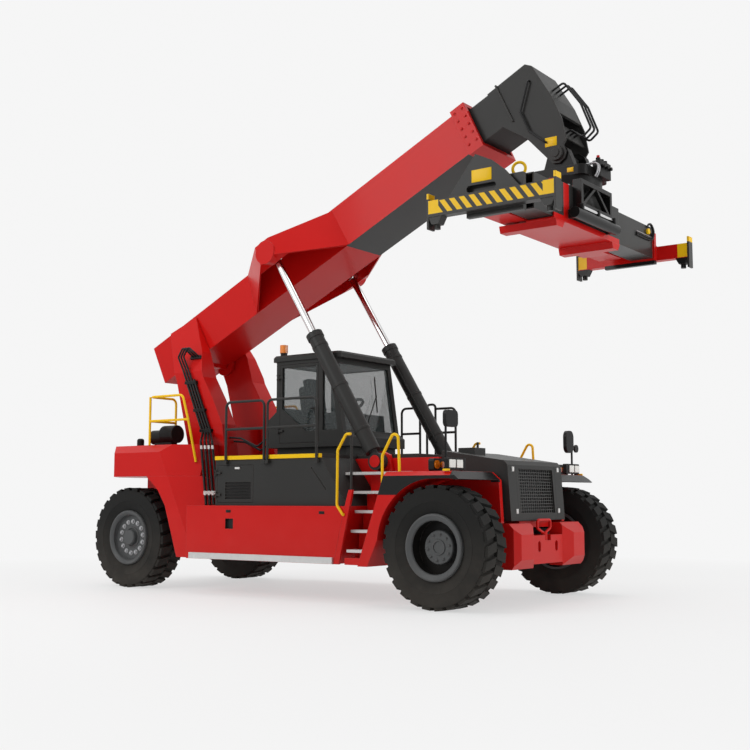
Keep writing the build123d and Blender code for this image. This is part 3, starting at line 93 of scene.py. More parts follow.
def rgb(red: float, green: float, blue: float) -> Colour:
    """A colour from its screen values, 0 to 255."""

    def linear(value: float) -> float:
        """One screen value made linear."""
        share = value / 255
        return share / 12.92 if share <= 0.04045 else ((share + 0.055) / 1.055) ** 2.4

    return (linear(red), linear(green), linear(blue), 1.0)


RED = rgb(200, 19, 16)
GREY = rgb(50, 50, 49)
BLACK = rgb(24, 24, 24)
YELLOW = rgb(244, 196, 22)
WHITE = rgb(222, 222, 220)
# Pale edge tone: part wear, part painted highlight on the edges.
WORN_AND_HIGHLIGHT = rgb(188, 172, 164)
DUST = rgb(150, 140, 128)


class Nodes:
    """A short way to add and link the nodes of one tree."""

    def __init__(self, tree: Tree) -> None:
        """Keeps the tree."""
        self.tree = tree

    def add(self, kind: str, inputs: dict | None = None, **settings: object) -> Node:
        """Adds a node.

        Args:
            kind: the node's type name.
            inputs: values or output sockets for its inputs, by name or index.
            settings: the node's own properties.

        Returns:
            The node.
        """
        node = self.tree.nodes.new(kind)
        for key, value in settings.items():
            setattr(node, key, value)
        for key, value in (inputs or {}).items():
            if isinstance(value, Socket):
                self.tree.links.new(value, node.inputs[key])
            else:
                node.inputs[key].default_value = value
        return node

    def maths(self, operation: str, *values: object) -> Socket:
        """A Math node of one operation, as its output socket."""
        return self.add("ShaderNodeMath", dict(enumerate(values)), operation=operation).outputs[0]

    def mix(self, share: object, first: object, second: object) -> Socket:
        """Two colours mixed by a share, as the output socket."""
        inputs = {0: share, 6: first, 7: second}
        return self.add("ShaderNodeMix", inputs, data_type="RGBA").outputs[2]

    def place(self) -> Socket:
        """The piece's own coordinates, as the output socket."""
        return self.add("ShaderNodeTexCoord").outputs["Object"]

    def noise(self, place: object, scale: object, detail: float) -> Socket:
        """A noise from 0 to 1, as the output socket."""
        inputs = {"Vector": place, "Scale": scale, "Detail": detail}
        return self.add("ShaderNodeTexNoise", inputs).outputs["Fac"]

    def spread(self, mask: object, width: float, middle: float) -> Socket:
        """A mask from 0 to 1 turned into a value round a middle, as the output socket."""
        return self.maths("ADD", self.maths("MULTIPLY", self.maths("SUBTRACT", mask, 0.5), width), middle)

    def mottle(self, colour: object, amount: float, scale: float) -> bpy.types.bpy_prop_collection:
        """A colour with slow and fine variation: the outputs of its node group."""
        inputs = {"Colour": colour, "Amount": amount, "Scale": scale}
        return self.add("ShaderNodeGroup", inputs, node_tree=Groups.mottle()).outputs

    def dust(self, colour: object, amount: float, reach: float) -> bpy.types.bpy_prop_collection:
        """A colour under the dust film: the outputs of its node group."""
        inputs = {"Colour": colour, "Amount": amount, "Reach": reach}
        return self.add("ShaderNodeGroup", inputs, node_tree=Groups.dust()).outputs

    def box(self, place: object, low: Point, high: Point) -> Socket:
        """1 where a place lies in a box, as the output socket."""
        inputs = {"Place": place, "Low": low, "High": high}
        return self.add("ShaderNodeGroup", inputs, node_tree=Groups.box_mask()).outputs[0]

    def seen(self) -> Socket:
        """1 for the rays that look straight at the backdrop, as the output socket."""
        rays = self.add("ShaderNodeLightPath").outputs
        first = self.maths("MAXIMUM", rays["Is Camera Ray"], rays["Is Glossy Ray"])
        return self.maths("MAXIMUM", first, rays["Is Transmission Ray"])


def new_group(name: str, inputs: dict[str, str], outputs: dict[str, str]) -> tuple:
    """Starts a shader node group.

    Args:
        name: the group's name.
        inputs: socket types by input name.
        outputs: socket types by output name.

    Returns:
        The group's nodes, its input node and its output node.
    """
    tree = bpy.data.node_groups.new(name, "ShaderNodeTree")
    for key, kind in inputs.items():
        tree.interface.new_socket(key, in_out="INPUT", socket_type="NodeSocket" + kind)
    for key, kind in outputs.items():
        tree.interface.new_socket(key, in_out="OUTPUT", socket_type="NodeSocket" + kind)
    nodes = Nodes(tree)
    return nodes, nodes.add("NodeGroupInput"), nodes.add("NodeGroupOutput")


class Groups:
    """The effects that several finishes share, each built once."""

    @staticmethod
    @cache
    def mottle() -> Tree:
        """Slow and fine variation of a colour, with a mask for roughness."""
        ins = {"Colour": "Color", "Amount": "Float", "Scale": "Float"}
        nodes, start, end = new_group("mottle", ins, {"Colour": "Color", "Mask": "Float"})
        place = nodes.place()
        mask = nodes.noise(place, start.outputs["Scale"], 6.0)
        shift = nodes.maths("MULTIPLY", nodes.maths("SUBTRACT", mask, 0.5), start.outputs["Amount"])
        value = nodes.maths("ADD", shift, 1.0)
        tone = nodes.add("ShaderNodeHueSaturation", {"Value": value, "Color": start.outputs["Colour"]})
        nodes.tree.links.new(tone.outputs[0], end.inputs["Colour"])
        nodes.tree.links.new(mask, end.inputs["Mask"])
        return nodes.tree

    @staticmethod
    @cache
    def dust() -> Tree:
        """A pale film that thins out with height above the ground."""
        ins = {"Colour": "Color", "Amount": "Float", "Reach": "Float"}
        nodes, start, end = new_group("dust", ins, {"Colour": "Color", "Mask": "Float"})
        place = nodes.place()
        height = nodes.add("ShaderNodeSeparateXYZ", {0: place}).outputs["Z"]
        share = nodes.maths("DIVIDE", height, start.outputs["Reach"])
        fade = nodes.maths("MAXIMUM", nodes.maths("SUBTRACT", 1.0, share), 0.0)
        noise = nodes.noise(place, 3.5, 8.0)
        mask = nodes.maths("MULTIPLY", nodes.maths("MULTIPLY", fade, noise), start.outputs["Amount"])
        colour = nodes.mix(mask, start.outputs["Colour"], DUST)
        nodes.tree.links.new(colour, end.inputs["Colour"])
        nodes.tree.links.new(mask, end.inputs["Mask"])
        return nodes.tree

    @staticmethod
    @cache
    def soft_edge() -> Tree:
        """Rounded edges and a fine orange-peel skin, as a normal and an edge mask."""
        ins = {"Radius": "Float", "Peel": "Float"}
        nodes, start, end = new_group("soft_edge", ins, {"Normal": "Vector", "Edge": "Float"})
        curved = nodes.add("ShaderNodeBevel", {"Radius": start.outputs["Radius"]}, samples=4).outputs[0]
        flat = nodes.add("ShaderNodeNewGeometry").outputs["Normal"]
        dot = nodes.add("ShaderNodeVectorMath", {0: curved, 1: flat}, operation="DOT_PRODUCT")
        edge = nodes.maths("MULTIPLY", nodes.maths("SUBTRACT", 1.0, dot.outputs["Value"]), 3.0)
        inputs = {"Strength": start.outputs["Peel"], "Distance": 0.002, "Normal": curved}
        inputs["Height"] = nodes.noise(nodes.place(), 90.0, 2.0)
        bump = nodes.add("ShaderNodeBump", inputs)
        nodes.tree.links.new(bump.outputs[0], end.inputs["Normal"])
        nodes.tree.links.new(edge, end.inputs["Edge"])
        return nodes.tree

    @staticmethod
    @cache
    def box_mask() -> Tree:
        """1 inside a box of a point's own coordinates, 0 outside."""
        ins = {"Place": "Vector", "Low": "Vector", "High": "Vector"}
        nodes, start, end = new_group("box_mask", ins, {"Mask": "Float"})
        inside = None
        parts = [nodes.add("ShaderNodeSeparateXYZ", {0: start.outputs[name]}) for name in ins]
        for axis in "XYZ":
            place, low, high = (part.outputs[axis] for part in parts)
            above = nodes.maths("GREATER_THAN", place, low)
            below = nodes.maths("LESS_THAN", place, high)
            both = nodes.maths("MULTIPLY", above, below)
            inside = both if inside is None else nodes.maths("MULTIPLY", inside, both)
        nodes.tree.links.new(inside, end.inputs["Mask"])
        return nodes.tree


@dataclass(frozen=True)
class Zone:
    """A box of the surface that has another colour; pitch turns the box about Y at pivot."""

    low: Point
    high: Point
    colour: Colour
    pivot: Point = (0.0, 0.0, 0.0)
    pitch: float = 0.0


@dataclass(frozen=True)
class Stripes:
    """Slanted stripes in a box; slant is the shift in X for each metre of height."""

    low: Point
    high: Point
    colour: Colour
    pitch: float
    slant: float
    share: float


@dataclass(frozen=True)
class Finish:
    """A finish with its material's name, colour and gloss."""

    name: str
    colour: Colour
    roughness: float = 0.4

    def material(self) -> bpy.types.Material:
        """The finish's material, built at its first use."""
        name = self.name + "_finish"
        made = bpy.data.materials.get(name)
        if made is None:
            made = bpy.data.materials.new(name)
            made.use_nodes = True
            nodes = Nodes(made.node_tree)
            self.shade(nodes, made.node_tree.nodes["Principled BSDF"])
        return made

    def shade(self, nodes: Nodes, shader: Node) -> None:
        """Sets up the shader and what feeds it.

        Args:
            nodes: the material's nodes.
            shader: its shader.
        """
        raise NotImplementedError

    def feed(self, nodes: Nodes, shader: Node, **inputs: object) -> None:
        """Links sockets to the shader's inputs or sets their values.

        Args:
            nodes: the material's nodes.
            shader: its shader.
            inputs: sockets or values by the input's name, with _ for a space.
        """
        for key, value in inputs.items():
            socket = shader.inputs[key.replace("_", " ")]
            if isinstance(value, Socket):
                nodes.tree.links.new(value, socket)
            else:
                socket.default_value = value


@dataclass(frozen=True)
class Paint(Finish):
    """Sprayed paint on steel, with zones of other colours."""

    coat: float = 0.12
    edge_radius: float = 0.008
    peel: float = 0.04
    mottle: float = 0.10
    dust: float = 0.10
    zones: tuple[Zone, ...] = ()
    stripes: Stripes | None = None
    specular: float = 0.12
    # How far edges lighten towards the pale tone: part wear, part painted highlight.
    wear_and_highlight: float = 0.3

    def shade(self, nodes: Nodes, shader: Node) -> None:
        """Paint colour with its zones, slow mottle, dust low down, and soft edges lightened by wear and by
        painted highlight.

        Args:
            nodes: the material's nodes.
            shader: its shader.
        """
        colour: object = self.colour
        place = nodes.place()
        for zone in self.zones:
            spot = place
            if zone.pitch or any(zone.pivot):
                inputs = {0: place, 1: zone.pivot}
                moved = nodes.add("ShaderNodeVectorMath", inputs, operation="SUBTRACT").outputs[0]
                inputs = {"Vector": moved, "Angle": math.radians(zone.pitch)}
                spot = nodes.add("ShaderNodeVectorRotate", inputs, rotation_type="Y_AXIS").outputs[0]
            colour = nodes.mix(nodes.box(spot, zone.low, zone.high), colour, zone.colour)
        if self.stripes:
            colour = self.striped(nodes, place, colour)
        mottle = nodes.mottle(colour, self.mottle, 1.7)
        dust = nodes.dust(mottle["Colour"], self.dust, 1.6)
        inputs = {"Radius": self.edge_radius, "Peel": self.peel}
        edge = nodes.add("ShaderNodeGroup", inputs, node_tree=Groups.soft_edge()).outputs
        # Edges lighten towards a pale tone: part wear, part painted highlight.
        rub_and_highlight = nodes.maths("MULTIPLY", edge["Edge"], nodes.maths("MULTIPLY", mottle["Mask"], self.wear_and_highlight))
        worn_and_highlit = nodes.mix(nodes.maths("MINIMUM", rub_and_highlight, 0.4), dust["Colour"], WORN_AND_HIGHLIGHT)
        rough = nodes.maths("ADD", nodes.spread(mottle["Mask"], 0.18, self.roughness), dust["Mask"])
        self.feed(
            nodes, shader, Base_Color=worn_and_highlit, Roughness=rough, Normal=edge["Normal"],
            Specular_IOR_Level=self.specular, Coat_Weight=self.coat, Coat_Roughness=0.12,
        )

    def striped(self, nodes: Nodes, place: Socket, colour: object) -> Socket:
        """The colour with the stripes laid over it.

        Args:
            nodes: the material's nodes.
            place: the piece's own coordinates.
            colour: what lies under the stripes.

        Returns:
            The colour's output socket.
        """
        stripes = self.stripes
        parts = nodes.add("ShaderNodeSeparateXYZ", {0: place}).outputs
        along = nodes.maths("ADD", parts["X"], nodes.maths("MULTIPLY", parts["Z"], stripes.slant))
        turn = nodes.maths("FRACT", nodes.maths("DIVIDE", along, stripes.pitch))
        box = nodes.box(place, stripes.low, stripes.high)
        mask = nodes.maths("MULTIPLY", nodes.maths("LESS_THAN", turn, stripes.share), box)
        return nodes.mix(mask, colour, stripes.colour)


@dataclass(frozen=True)
class Metal(Finish):
    """Bare bright or cast metal."""

    metallic: float = 1.0
    grain: float = 60.0

    def shade(self, nodes: Nodes, shader: Node) -> None:
        """Metal with a fine grain in its gloss.

        Args:
            nodes: the material's nodes.
            shader: its shader.
        """
        mottle = nodes.mottle(self.colour, 0.12, self.grain)
        rough = nodes.spread(mottle["Mask"], 0.1, self.roughness)
        self.feed(nodes, shader, Base_Color=mottle["Colour"], Roughness=rough, Metallic=self.metallic)


@dataclass(frozen=True)
class Rubber(Finish):
    """Tyre or hose rubber."""

    dust: float = 0.2

    def shade(self, nodes: Nodes, shader: Node) -> None:
        """Dull rubber with fine grain and dust low down.

        Args:
            nodes: the material's nodes.
            shader: its shader.
        """
        place = nodes.place()
        mottle = nodes.mottle(self.colour, 0.35, 9.0)
        dust = nodes.dust(mottle["Colour"], self.dust, 1.2)
        noise = nodes.noise(place, 160.0, 3.0)
        bump = nodes.add("ShaderNodeBump", {"Strength": 0.25, "Distance": 0.003, "Height": noise})
        self.feed(
            nodes, shader, Base_Color=dust["Colour"], Normal=bump.outputs[0], Roughness=self.roughness,
            Specular_IOR_Level=0.25,
        )


@dataclass(frozen=True)
class Tread(Finish):
    """Zinc-coated plate with a raised diamond pattern."""

    pitch: float = 0.045

    def shade(self, nodes: Nodes, shader: Node) -> None:
        """Pale zinc with crossing ribs as bump and slow variation in its colour.

        Args:
            nodes: the material's nodes.
            shader: its shader.
        """
        place = nodes.place()
        parts = nodes.add("ShaderNodeSeparateXYZ", {0: place}).outputs
        ribs = None
        for way in (1.0, -1.0):
            slant = nodes.maths("ADD", parts["X"], nodes.maths("MULTIPLY", parts["Y"], way))
            wave = nodes.maths("SINE", nodes.maths("MULTIPLY", slant, 2 * math.pi / self.pitch))
            ribs = wave if ribs is None else nodes.maths("MAXIMUM", ribs, wave)
        bump = nodes.add("ShaderNodeBump", {"Strength": 0.6, "Distance": 0.003, "Height": ribs})
        mottle = nodes.mottle(self.colour, 0.18, 6.0)
        self.feed(
            nodes, shader, Base_Color=mottle["Colour"], Normal=bump.outputs[0], Roughness=self.roughness,
            Metallic=0.25,
        )


@dataclass(frozen=True)
class Pane(Finish):
    """A smooth glossy pane, see-through by clear, from 0 to 1."""

    clear: float = 0.5

    def shade(self, nodes: Nodes, shader: Node) -> None:
        """Tinted glass or a lens, with faint smears in its gloss.

        Args:
            nodes: the material's nodes.
            shader: its shader.
        """
        mottle = nodes.mottle(self.colour, 0.08, 2.5)
        smear = nodes.maths("MULTIPLY", mottle["Mask"], 0.05)
        rough = nodes.maths("ADD", smear, self.roughness)
        self.feed(
            nodes, shader, Base_Color=mottle["Colour"], Roughness=rough, Alpha=1.0 - self.clear,
            Coat_Weight=0.5,
        )


@dataclass(frozen=True)
class Fabric(Finish):
    """Woven seat cover with sewn channels."""

    channel: float = 0.085

    def shade(self, nodes: Nodes, shader: Node) -> None:
        """Dark cloth with a fine weave and channels across the seat.

        Args:
            nodes: the material's nodes.
            shader: its shader.
        """
        place = nodes.place()
        across = nodes.add("ShaderNodeSeparateXYZ", {0: place}).outputs["Y"]
        turn = nodes.maths("MULTIPLY", across, 2 * math.pi / self.channel)
        ridge = nodes.maths("ABSOLUTE", nodes.maths("SINE", turn))
        weave = nodes.add("ShaderNodeTexVoronoi", {"Vector": place, "Scale": 260.0}).outputs["Distance"]
        height = nodes.maths("ADD", ridge, nodes.maths("MULTIPLY", weave, 0.3))
        bump = nodes.add("ShaderNodeBump", {"Strength": 0.5, "Distance": 0.008, "Height": height})
        mottle = nodes.mottle(self.colour, 0.3, 24.0)
        self.feed(
            nodes, shader, Base_Color=mottle["Colour"], Normal=bump.outputs[0], Roughness=self.roughness
        )


SHARP = math.radians(32)


class Form:
    """A mesh under way: shapes from operators, gathered into one piece."""

    def __init__(self) -> None:
        """Starts empty."""
        self.bm = bmesh.new()

    def take(self, part: Mesh, place: Matrix) -> "Form":
        """Moves a shape to its place and adds it.

        Args:
            part: the shape, which is used up.
            place: where it goes.

        Returns:
            The form itself.
        """
        bmesh.ops.transform(part, matrix=place, verts=part.verts)
        bmesh.ops.recalc_face_normals(part, faces=part.faces)
        mesh = bpy.data.meshes.new("part")
        part.to_mesh(mesh)
        part.free()
        self.bm.from_mesh(mesh)
        bpy.data.meshes.remove(mesh)
        return self

    def block(self, low: Point, high: Point, bevel: float = 0.003) -> "Form":
        """A box between two corners, with rounded edges.

        Args:
            low: the lower corner.
            high: the upper corner.
            bevel: how far the edges are rounded.

        Returns:
            The form itself.
        """
        part = bmesh.new()
        bmesh.ops.create_cube(part, size=1.0)
        bmesh.ops.scale(part, vec=Vector(high) - Vector(low), verts=part.verts)
        rounded(part, part.edges[:], bevel)
        return self.take(part, Matrix.Translation((Vector(low) + Vector(high)) / 2))

    def rod(self, start: Point, end: Point, radius: float, sides: int = 20, bevel: float = 0.0) -> "Form":
        """A round bar between two points, with rounded rims if bevel is given.

        Args:
            start: the middle of one end.
            end: the middle of the other end.
            radius: the bar's radius.
            sides: the number of facets round.
            bevel: how far the rims are rounded.

        Returns:
            The form itself.
        """
        run = Vector(end) - Vector(start)
        part = bmesh.new()
        bmesh.ops.create_cone(
            part, cap_ends=True, segments=sides, radius1=radius, radius2=radius, depth=run.length
        )
        if bevel:
            rims = [edge for edge in part.edges if abs(edge.verts[0].co.z - edge.verts[1].co.z) < 1e-6]
            rounded(part, rims, bevel)
        return self.take(part, facing((Vector(start) + Vector(end)) / 2, run))

    def lathe(
        self, profile: Sequence[Pair], place: Point, axis: Point, steps: int = 48
    ) -> "Form":
        """A ring spun from a closed outline.

        Args:
            profile: (radius, height along the axis) of each corner.
            place: the point of the axis at height 0.
            axis: the axis' direction.
            steps: the number of facets round.

        Returns:
            The form itself.
        """
        part = bmesh.new()
        corners = [part.verts.new((radius, 0.0, height)) for radius, height in profile]
        edges = [part.edges.new((a, b)) for a, b in zip(corners, corners[1:] + corners[:1])]
        turn = 2 * math.pi
        geom = corners + edges
        bmesh.ops.spin(
            part, geom=geom, cent=(0, 0, 0), axis=(0, 0, 1), angle=turn, steps=steps, use_merge=True
        )
        bmesh.ops.remove_doubles(part, verts=part.verts, dist=1e-5)
        return self.take(part, facing(Vector(place), Vector(axis)))

    def bolt(self, place: Point, axis: Point, size: float) -> "Form":
        """A hexagon bolt head on its washer; size is half its width.

        Args:
            place: where the washer sits.
            axis: the way that the head points.
            size: half the head's width.

        Returns:
            The form itself.
        """
        way = Vector(axis).normalized()
        start = Vector(place)
        self.rod(start, start + way * size * 0.3, size * 1.5, 16, size * 0.08)
        return self.rod(start + way * size * 0.3, start + way * size * 1.1, size, 6, size * 0.12)

    def hose(self, points: Sequence[Point], radius: float) -> "Form":
        """A smooth pipe through the space between a few points.

        Args:
            points: the control points.
            radius: the pipe's radius.

        Returns:
            The form itself.
        """
        curve = bpy.data.curves.new("hose", "CURVE")
        curve.dimensions = "3D"
        spline = curve.splines.new("NURBS")
        spline.points.add(len(points) - 1)
        for point, corner in zip(spline.points, points):
            point.co = (*corner, 1.0)
        spline.order_u = 3
        spline.use_endpoint_u = True
        curve.bevel_depth = radius
        curve.bevel_resolution = 3
        curve.use_fill_caps = True
        holder = bpy.data.objects.new("hose", curve)
        mesh = bpy.data.meshes.new_from_object(holder)
        self.bm.from_mesh(mesh)
        bpy.data.objects.remove(holder)
        bpy.data.curves.remove(curve)
        bpy.data.meshes.remove(mesh)
        return self

    def pillow(self, low: Point, high: Point, turn: float = 0.0) -> "Form":
        """A crowned cushion in a box, leaned about Y by turn in degrees.

        Args:
            low: the box's lower corner.
            high: its upper corner.
            turn: the lean in degrees.

        Returns:
            The form itself.
        """
        part = bmesh.new()
        bmesh.ops.create_cube(part, size=1.0)
        bmesh.ops.scale(part, vec=Vector(high) - Vector(low), verts=part.verts)
        bmesh.ops.subdivide_edges(part, edges=part.edges[:], cuts=7, use_grid_fill=True)
        for _ in range(3):
            bmesh.ops.smooth_vert(
                part, verts=part.verts, factor=0.5, use_axis_x=True, use_axis_y=True, use_axis_z=True
            )
        place = Matrix.Translation((Vector(low) + Vector(high)) / 2)
        return self.take(part, place @ Matrix.Rotation(math.radians(turn), 4, "Y"))

    def piece(self, name: str, body: str, finish: Finish, slot: Slot) -> bpy.types.Object:
        """Turns the form into a piece of the machine.

        Args:
            name: the piece's name.
            body: the body that it rides on.
            finish: its finish.
            slot: the record's slot that the finish belongs to; not used.

        Returns:
            The piece's object.
        """
        mesh = bpy.data.meshes.new(name)
        self.bm.to_mesh(mesh)
        self.bm.free()
        mesh.materials.append(finish.material())
        mesh.shade_smooth()
        mesh.set_sharp_from_angle(angle=SHARP)
        piece = bpy.data.objects.new(name, mesh)
        bpy.context.scene.collection.objects.link(piece)
        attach(piece, body)
        log.info("%s rides on %s", name, body)
        return piece


def rounded(part: Mesh, edges: list, offset: float) -> None:
    """Rounds edges of a shape by offset."""
    bmesh.ops.bevel(part, geom=edges, offset=offset, affect="EDGES", segments=2, profile=0.5, material=-1)


def facing(place: Vector, way: Vector) -> Matrix:
    """The place of a shape whose own Z axis points along way."""
    turn = Vector((0.0, 0.0, 1.0)).rotation_difference(way.normalized())
    return Matrix.Translation(place) @ turn.to_matrix().to_4x4()


def circle(count: int, radius: float, start: float = 0.0) -> list[Pair]:
    """Points evenly round a circle, from an angle in degrees."""
    turns = [math.radians(start + 360 * i / count) for i in range(count)]
    return [(radius * math.cos(turn), radius * math.sin(turn)) for turn in turns]


@dataclass
class Studio:
    """The camera at the photograph's place, the pale floor and the soft light."""

    eye: Point = (10.904, -14.696, 1.466)
    azimuth: float = 36.156
    pitch: float = 6.143
    lens: float = 55.11
    backdrop: float = 0.92
    floor_tone: float = 0.86
    floor_reach: float = 60.0
    floor_fade: Pair = (3.0, 13.0)

    def build(self) -> None:
        """Makes the camera, the floor, the world and the lamps."""
        self.camera()
        self.floor()
        self.world()
        self.lamp("key", (-5.0, -14.0, 11.0), 9.0, 1000.0)
        self.lamp("fill", (15.0, 3.0, 6.0), 8.0, 640.0)
        self.lamp("top", (-1.0, 1.0, 15.0), 12.0, 960.0)
        scene = bpy.context.scene
        scene.view_settings.view_transform = "Standard"

    def camera(self) -> None:
        """The camera, level and turned by azimuth and pitch."""
        data = bpy.data.cameras.new("camera")
        data.lens = self.lens
        data.sensor_width = 36.0
        data.clip_end = 500.0
        camera = bpy.data.objects.new("camera", data)
        camera.location = self.eye
        camera.rotation_euler = Euler((math.radians(90 + self.pitch), 0.0, math.radians(self.azimuth)))
        bpy.context.scene.collection.objects.link(camera)
        bpy.context.scene.camera = camera

    def floor(self) -> None:
        """A wide pale floor that fades into the backdrop far out."""
        mesh = bpy.data.meshes.new("floor")
        bm = bmesh.new()
        bmesh.ops.create_circle(bm, cap_ends=True, radius=self.floor_reach, segments=96)
        bm.to_mesh(mesh)
        bm.free()
        floor = bpy.data.objects.new("floor", mesh)
        bpy.context.scene.collection.objects.link(floor)
        material = bpy.data.materials.new("floor")
        material.use_nodes = True
        nodes = Nodes(material.node_tree)
        shader = material.node_tree.nodes["Principled BSDF"]
        shader.inputs["Base Color"].default_value = (self.floor_tone,) * 3 + (1.0,)
        shader.inputs["Roughness"].default_value = 0.6
        place = nodes.place()
        reach = nodes.add("ShaderNodeVectorMath", {0: place}, operation="LENGTH").outputs["Value"]
        near, far = self.floor_fade
        inputs = {"Value": reach, "From Min": near, "From Max": far, "To Min": 0.6}
        fade = nodes.add("ShaderNodeMapRange", inputs)
        share = nodes.maths("MULTIPLY", fade.outputs[0], nodes.seen())
        glow = nodes.add("ShaderNodeEmission", {"Color": (self.backdrop,) * 3 + (1.0,), "Strength": 1.0})
        both = nodes.add("ShaderNodeMixShader", {0: share, 1: shader.outputs[0], 2: glow.outputs[0]})
        out = material.node_tree.nodes["Material Output"]
        nodes.tree.links.new(both.outputs[0], out.inputs["Surface"])
        mesh.materials.append(material)

    def world(self) -> None:
        """Even light all round, with the white backdrop for what looks straight at it."""
        world = bpy.data.worlds.new("studio")
        world.use_nodes = True
        bpy.context.scene.world = world
        nodes = Nodes(world.node_tree)
        light = nodes.add("ShaderNodeBackground", {"Color": (1.0, 1.0, 1.0, 1.0), "Strength": 0.4})
        shown = nodes.add("ShaderNodeBackground", {"Color": (self.backdrop,) * 3 + (1.0,), "Strength": 1.0})
        both = nodes.add("ShaderNodeMixShader", {0: nodes.seen(), 1: light.outputs[0], 2: shown.outputs[0]})
        out = world.node_tree.nodes["World Output"]
        nodes.tree.links.new(both.outputs[0], out.inputs["Surface"])

    def lamp(self, name: str, place: Point, size: float, power: float) -> None:
        """A square area lamp that points at the machine.

        Args:
            name: the lamp's name.
            place: where it hangs.
            size: its side in metres.
            power: in watts.
        """
        data = bpy.data.lights.new(name, "AREA")
        data.energy = power
        data.size = size
        lamp = bpy.data.objects.new(name, data)
        lamp.location = place
        aim = Vector((0.0, 0.0, 2.5)) - Vector(place)
        lamp.rotation_euler = aim.to_track_quat("-Z", "Y").to_euler()
        lamp.visible_glossy = True
        bpy.context.scene.collection.objects.link(lamp)


RED_PAINT = Paint("red_paint", RED, 0.36)
GREY_PAINT = Paint("grey_paint", GREY, 0.48, coat=0.05)
BLACK_PAINT = Paint("black_paint", BLACK, 0.45, coat=0.05)
YELLOW_PAINT = Paint("yellow_paint", YELLOW, 0.40)
GRILLE_PAINT = Paint("grille_paint", rgb(66, 67, 66), 0.4, dust=0.2)
WHITE_PAINT = Paint("white_paint", WHITE, 0.40, dust=0.0)
CHROME = Metal("rod_chrome", rgb(214, 214, 214), 0.14)
STEEL = Metal("bolt_steel", rgb(168, 168, 170), 0.36, metallic=0.7)
CAST = Metal("cast_dark", rgb(46, 46, 48), 0.55, metallic=0.3, grain=40.0)
RIM_GREY = Paint("rim_grey", rgb(84, 86, 87), 0.45, coat=0.05, mottle=0.16)
TYRE_RUBBER = Rubber("tyre_rubber", rgb(26, 26, 25), 0.85)
HOSE_RUBBER = Rubber("hose_rubber", rgb(26, 26, 27), 0.55, dust=0.05)
TREAD_ZINC = Tread("tread_zinc", rgb(206, 207, 206), 0.42)
WINDOW = Pane("window", rgb(70, 78, 78), 0.03, clear=0.68)
LENS = Pane("lens_clear", rgb(236, 236, 230), 0.10, clear=0.0)
AMBER = Pane("beacon_amber", rgb(240, 132, 16), 0.16, clear=0.0)
FABRIC = Fabric("seat_fabric", rgb(40, 41, 45), 0.9)


BOOM_PIVOT = (-3.5, 0.0, 3.88)
BOOM_PITCH = 25.5
SLEW_X = 3.6285
BOOM_PAINT = Paint(
    "boom_paint",
    RED,
    0.36,
    zones=(Zone((3.79, -0.5, -0.06), (6.34, 0.5, -0.045), GREY, BOOM_PIVOT, BOOM_PITCH),),
)


def fender_paint(side: Side) -> Paint:
    """Red mudguard paint with its black front lip and the dark band on its outer face."""
    outer = sorted((side.value * 1.978, side.value * 2.0))
    whole = sorted((side.value * 0.9, side.value * 2.1))
    return Paint(
        "fender_paint_" + side.name.lower(),
        RED,
        0.36,
        zones=(
            Zone((1.60, outer[0], 1.515), (2.835, outer[1], 1.772), BLACK),
            Zone((2.822, whole[0], 1.69), (3.1, whole[1], 1.85), BLACK),
        ),
    )


DECK_PAINT = Paint(
    "deck_paint",
    GREY,
    0.5,
    coat=0.05,
    zones=(
        Zone((-1.75, -1.72, 2.0), (0.46, -1.655, 2.14), YELLOW),
        Zone((-1.75, 1.655, 2.0), (0.46, 1.72, 2.14), YELLOW),
    ),
)
TANK_PAINT = Paint(
    "tank_paint",
    RED,
    0.36,
    zones=(Zone((-1.40, -1.749, 1.0), (-1.228, -1.6, 1.17), BLACK),),
)
DOOR_PAINT = Paint(
    "door_paint",
    GREY,
    0.48,
    coat=0.05,
    zones=(
        Zone((-1.475, -1.679, 1.45), (-0.935, -1.65, 1.72), BLACK),
        Zone((-1.27, -1.71, 1.90), (-1.15, -1.681, 1.96), WHITE),
    ),
)
HOOD_PAINT = Paint(
    "hood_paint",
    GREY,
    0.46,
    coat=0.06,
    zones=(
        Zone((2.9, -0.584, 1.1), (3.1, -0.576, 2.0), BLACK),
        Zone((2.9, 0.576, 1.1), (3.1, 0.584, 2.0), BLACK),
    ),
)
PIPE_PAINT = Paint(
    "pipe_paint",
    BLACK,
    0.4,
    zones=(
        Zone((-3.6, -1.75, 2.27), (-1.8, -0.7, 2.33), WHITE),
        Zone((-3.6, -1.75, 1.52), (-1.8, -0.7, 1.59), WHITE),
    ),
)
BEAM_PAINT = Paint(
    "beam_paint",
    RED,
    0.36,
    zones=(
        Zone((SLEW_X + 0.4205, -1.4, 5.17), (5.0, 1.4, 5.9), BLACK),
        Zone((SLEW_X + 0.41, -1.4, 5.24), (SLEW_X + 0.4205, 0.8, 5.71), GREY),
        Zone((SLEW_X + 0.41, -1.02, 5.24), (SLEW_X + 0.4205, -0.86, 5.71), RED),
        Zone((2.9, -0.6, 5.705), (5.0, 0.6, 5.9), BLACK),
    ),
)
ARM_RIGHT_PAINT = Paint(
    "arm_right_paint",
    GREY,
    0.42,
    coat=0.1,
    zones=(
        Zone((2.6, -2.06, 4.9), (4.7, 2.1, 5.9), RED),
        Zone((2.6, -2.29, 5.405), (2.713, -2.1, 5.6), YELLOW),
        Zone((4.544, -2.29, 5.405), (4.7, -2.1, 5.6), YELLOW),
        Zone((2.704, -2.285, 5.20), (2.86, -2.27, 5.385), YELLOW),
        Zone((4.40, -2.285, 5.20), (4.552, -2.27, 5.385), YELLOW),
    ),
    stripes=Stripes((2.86, -2.285, 5.20), (4.40, -2.27, 5.365), YELLOW, 0.15, 0.75, 0.55),
)
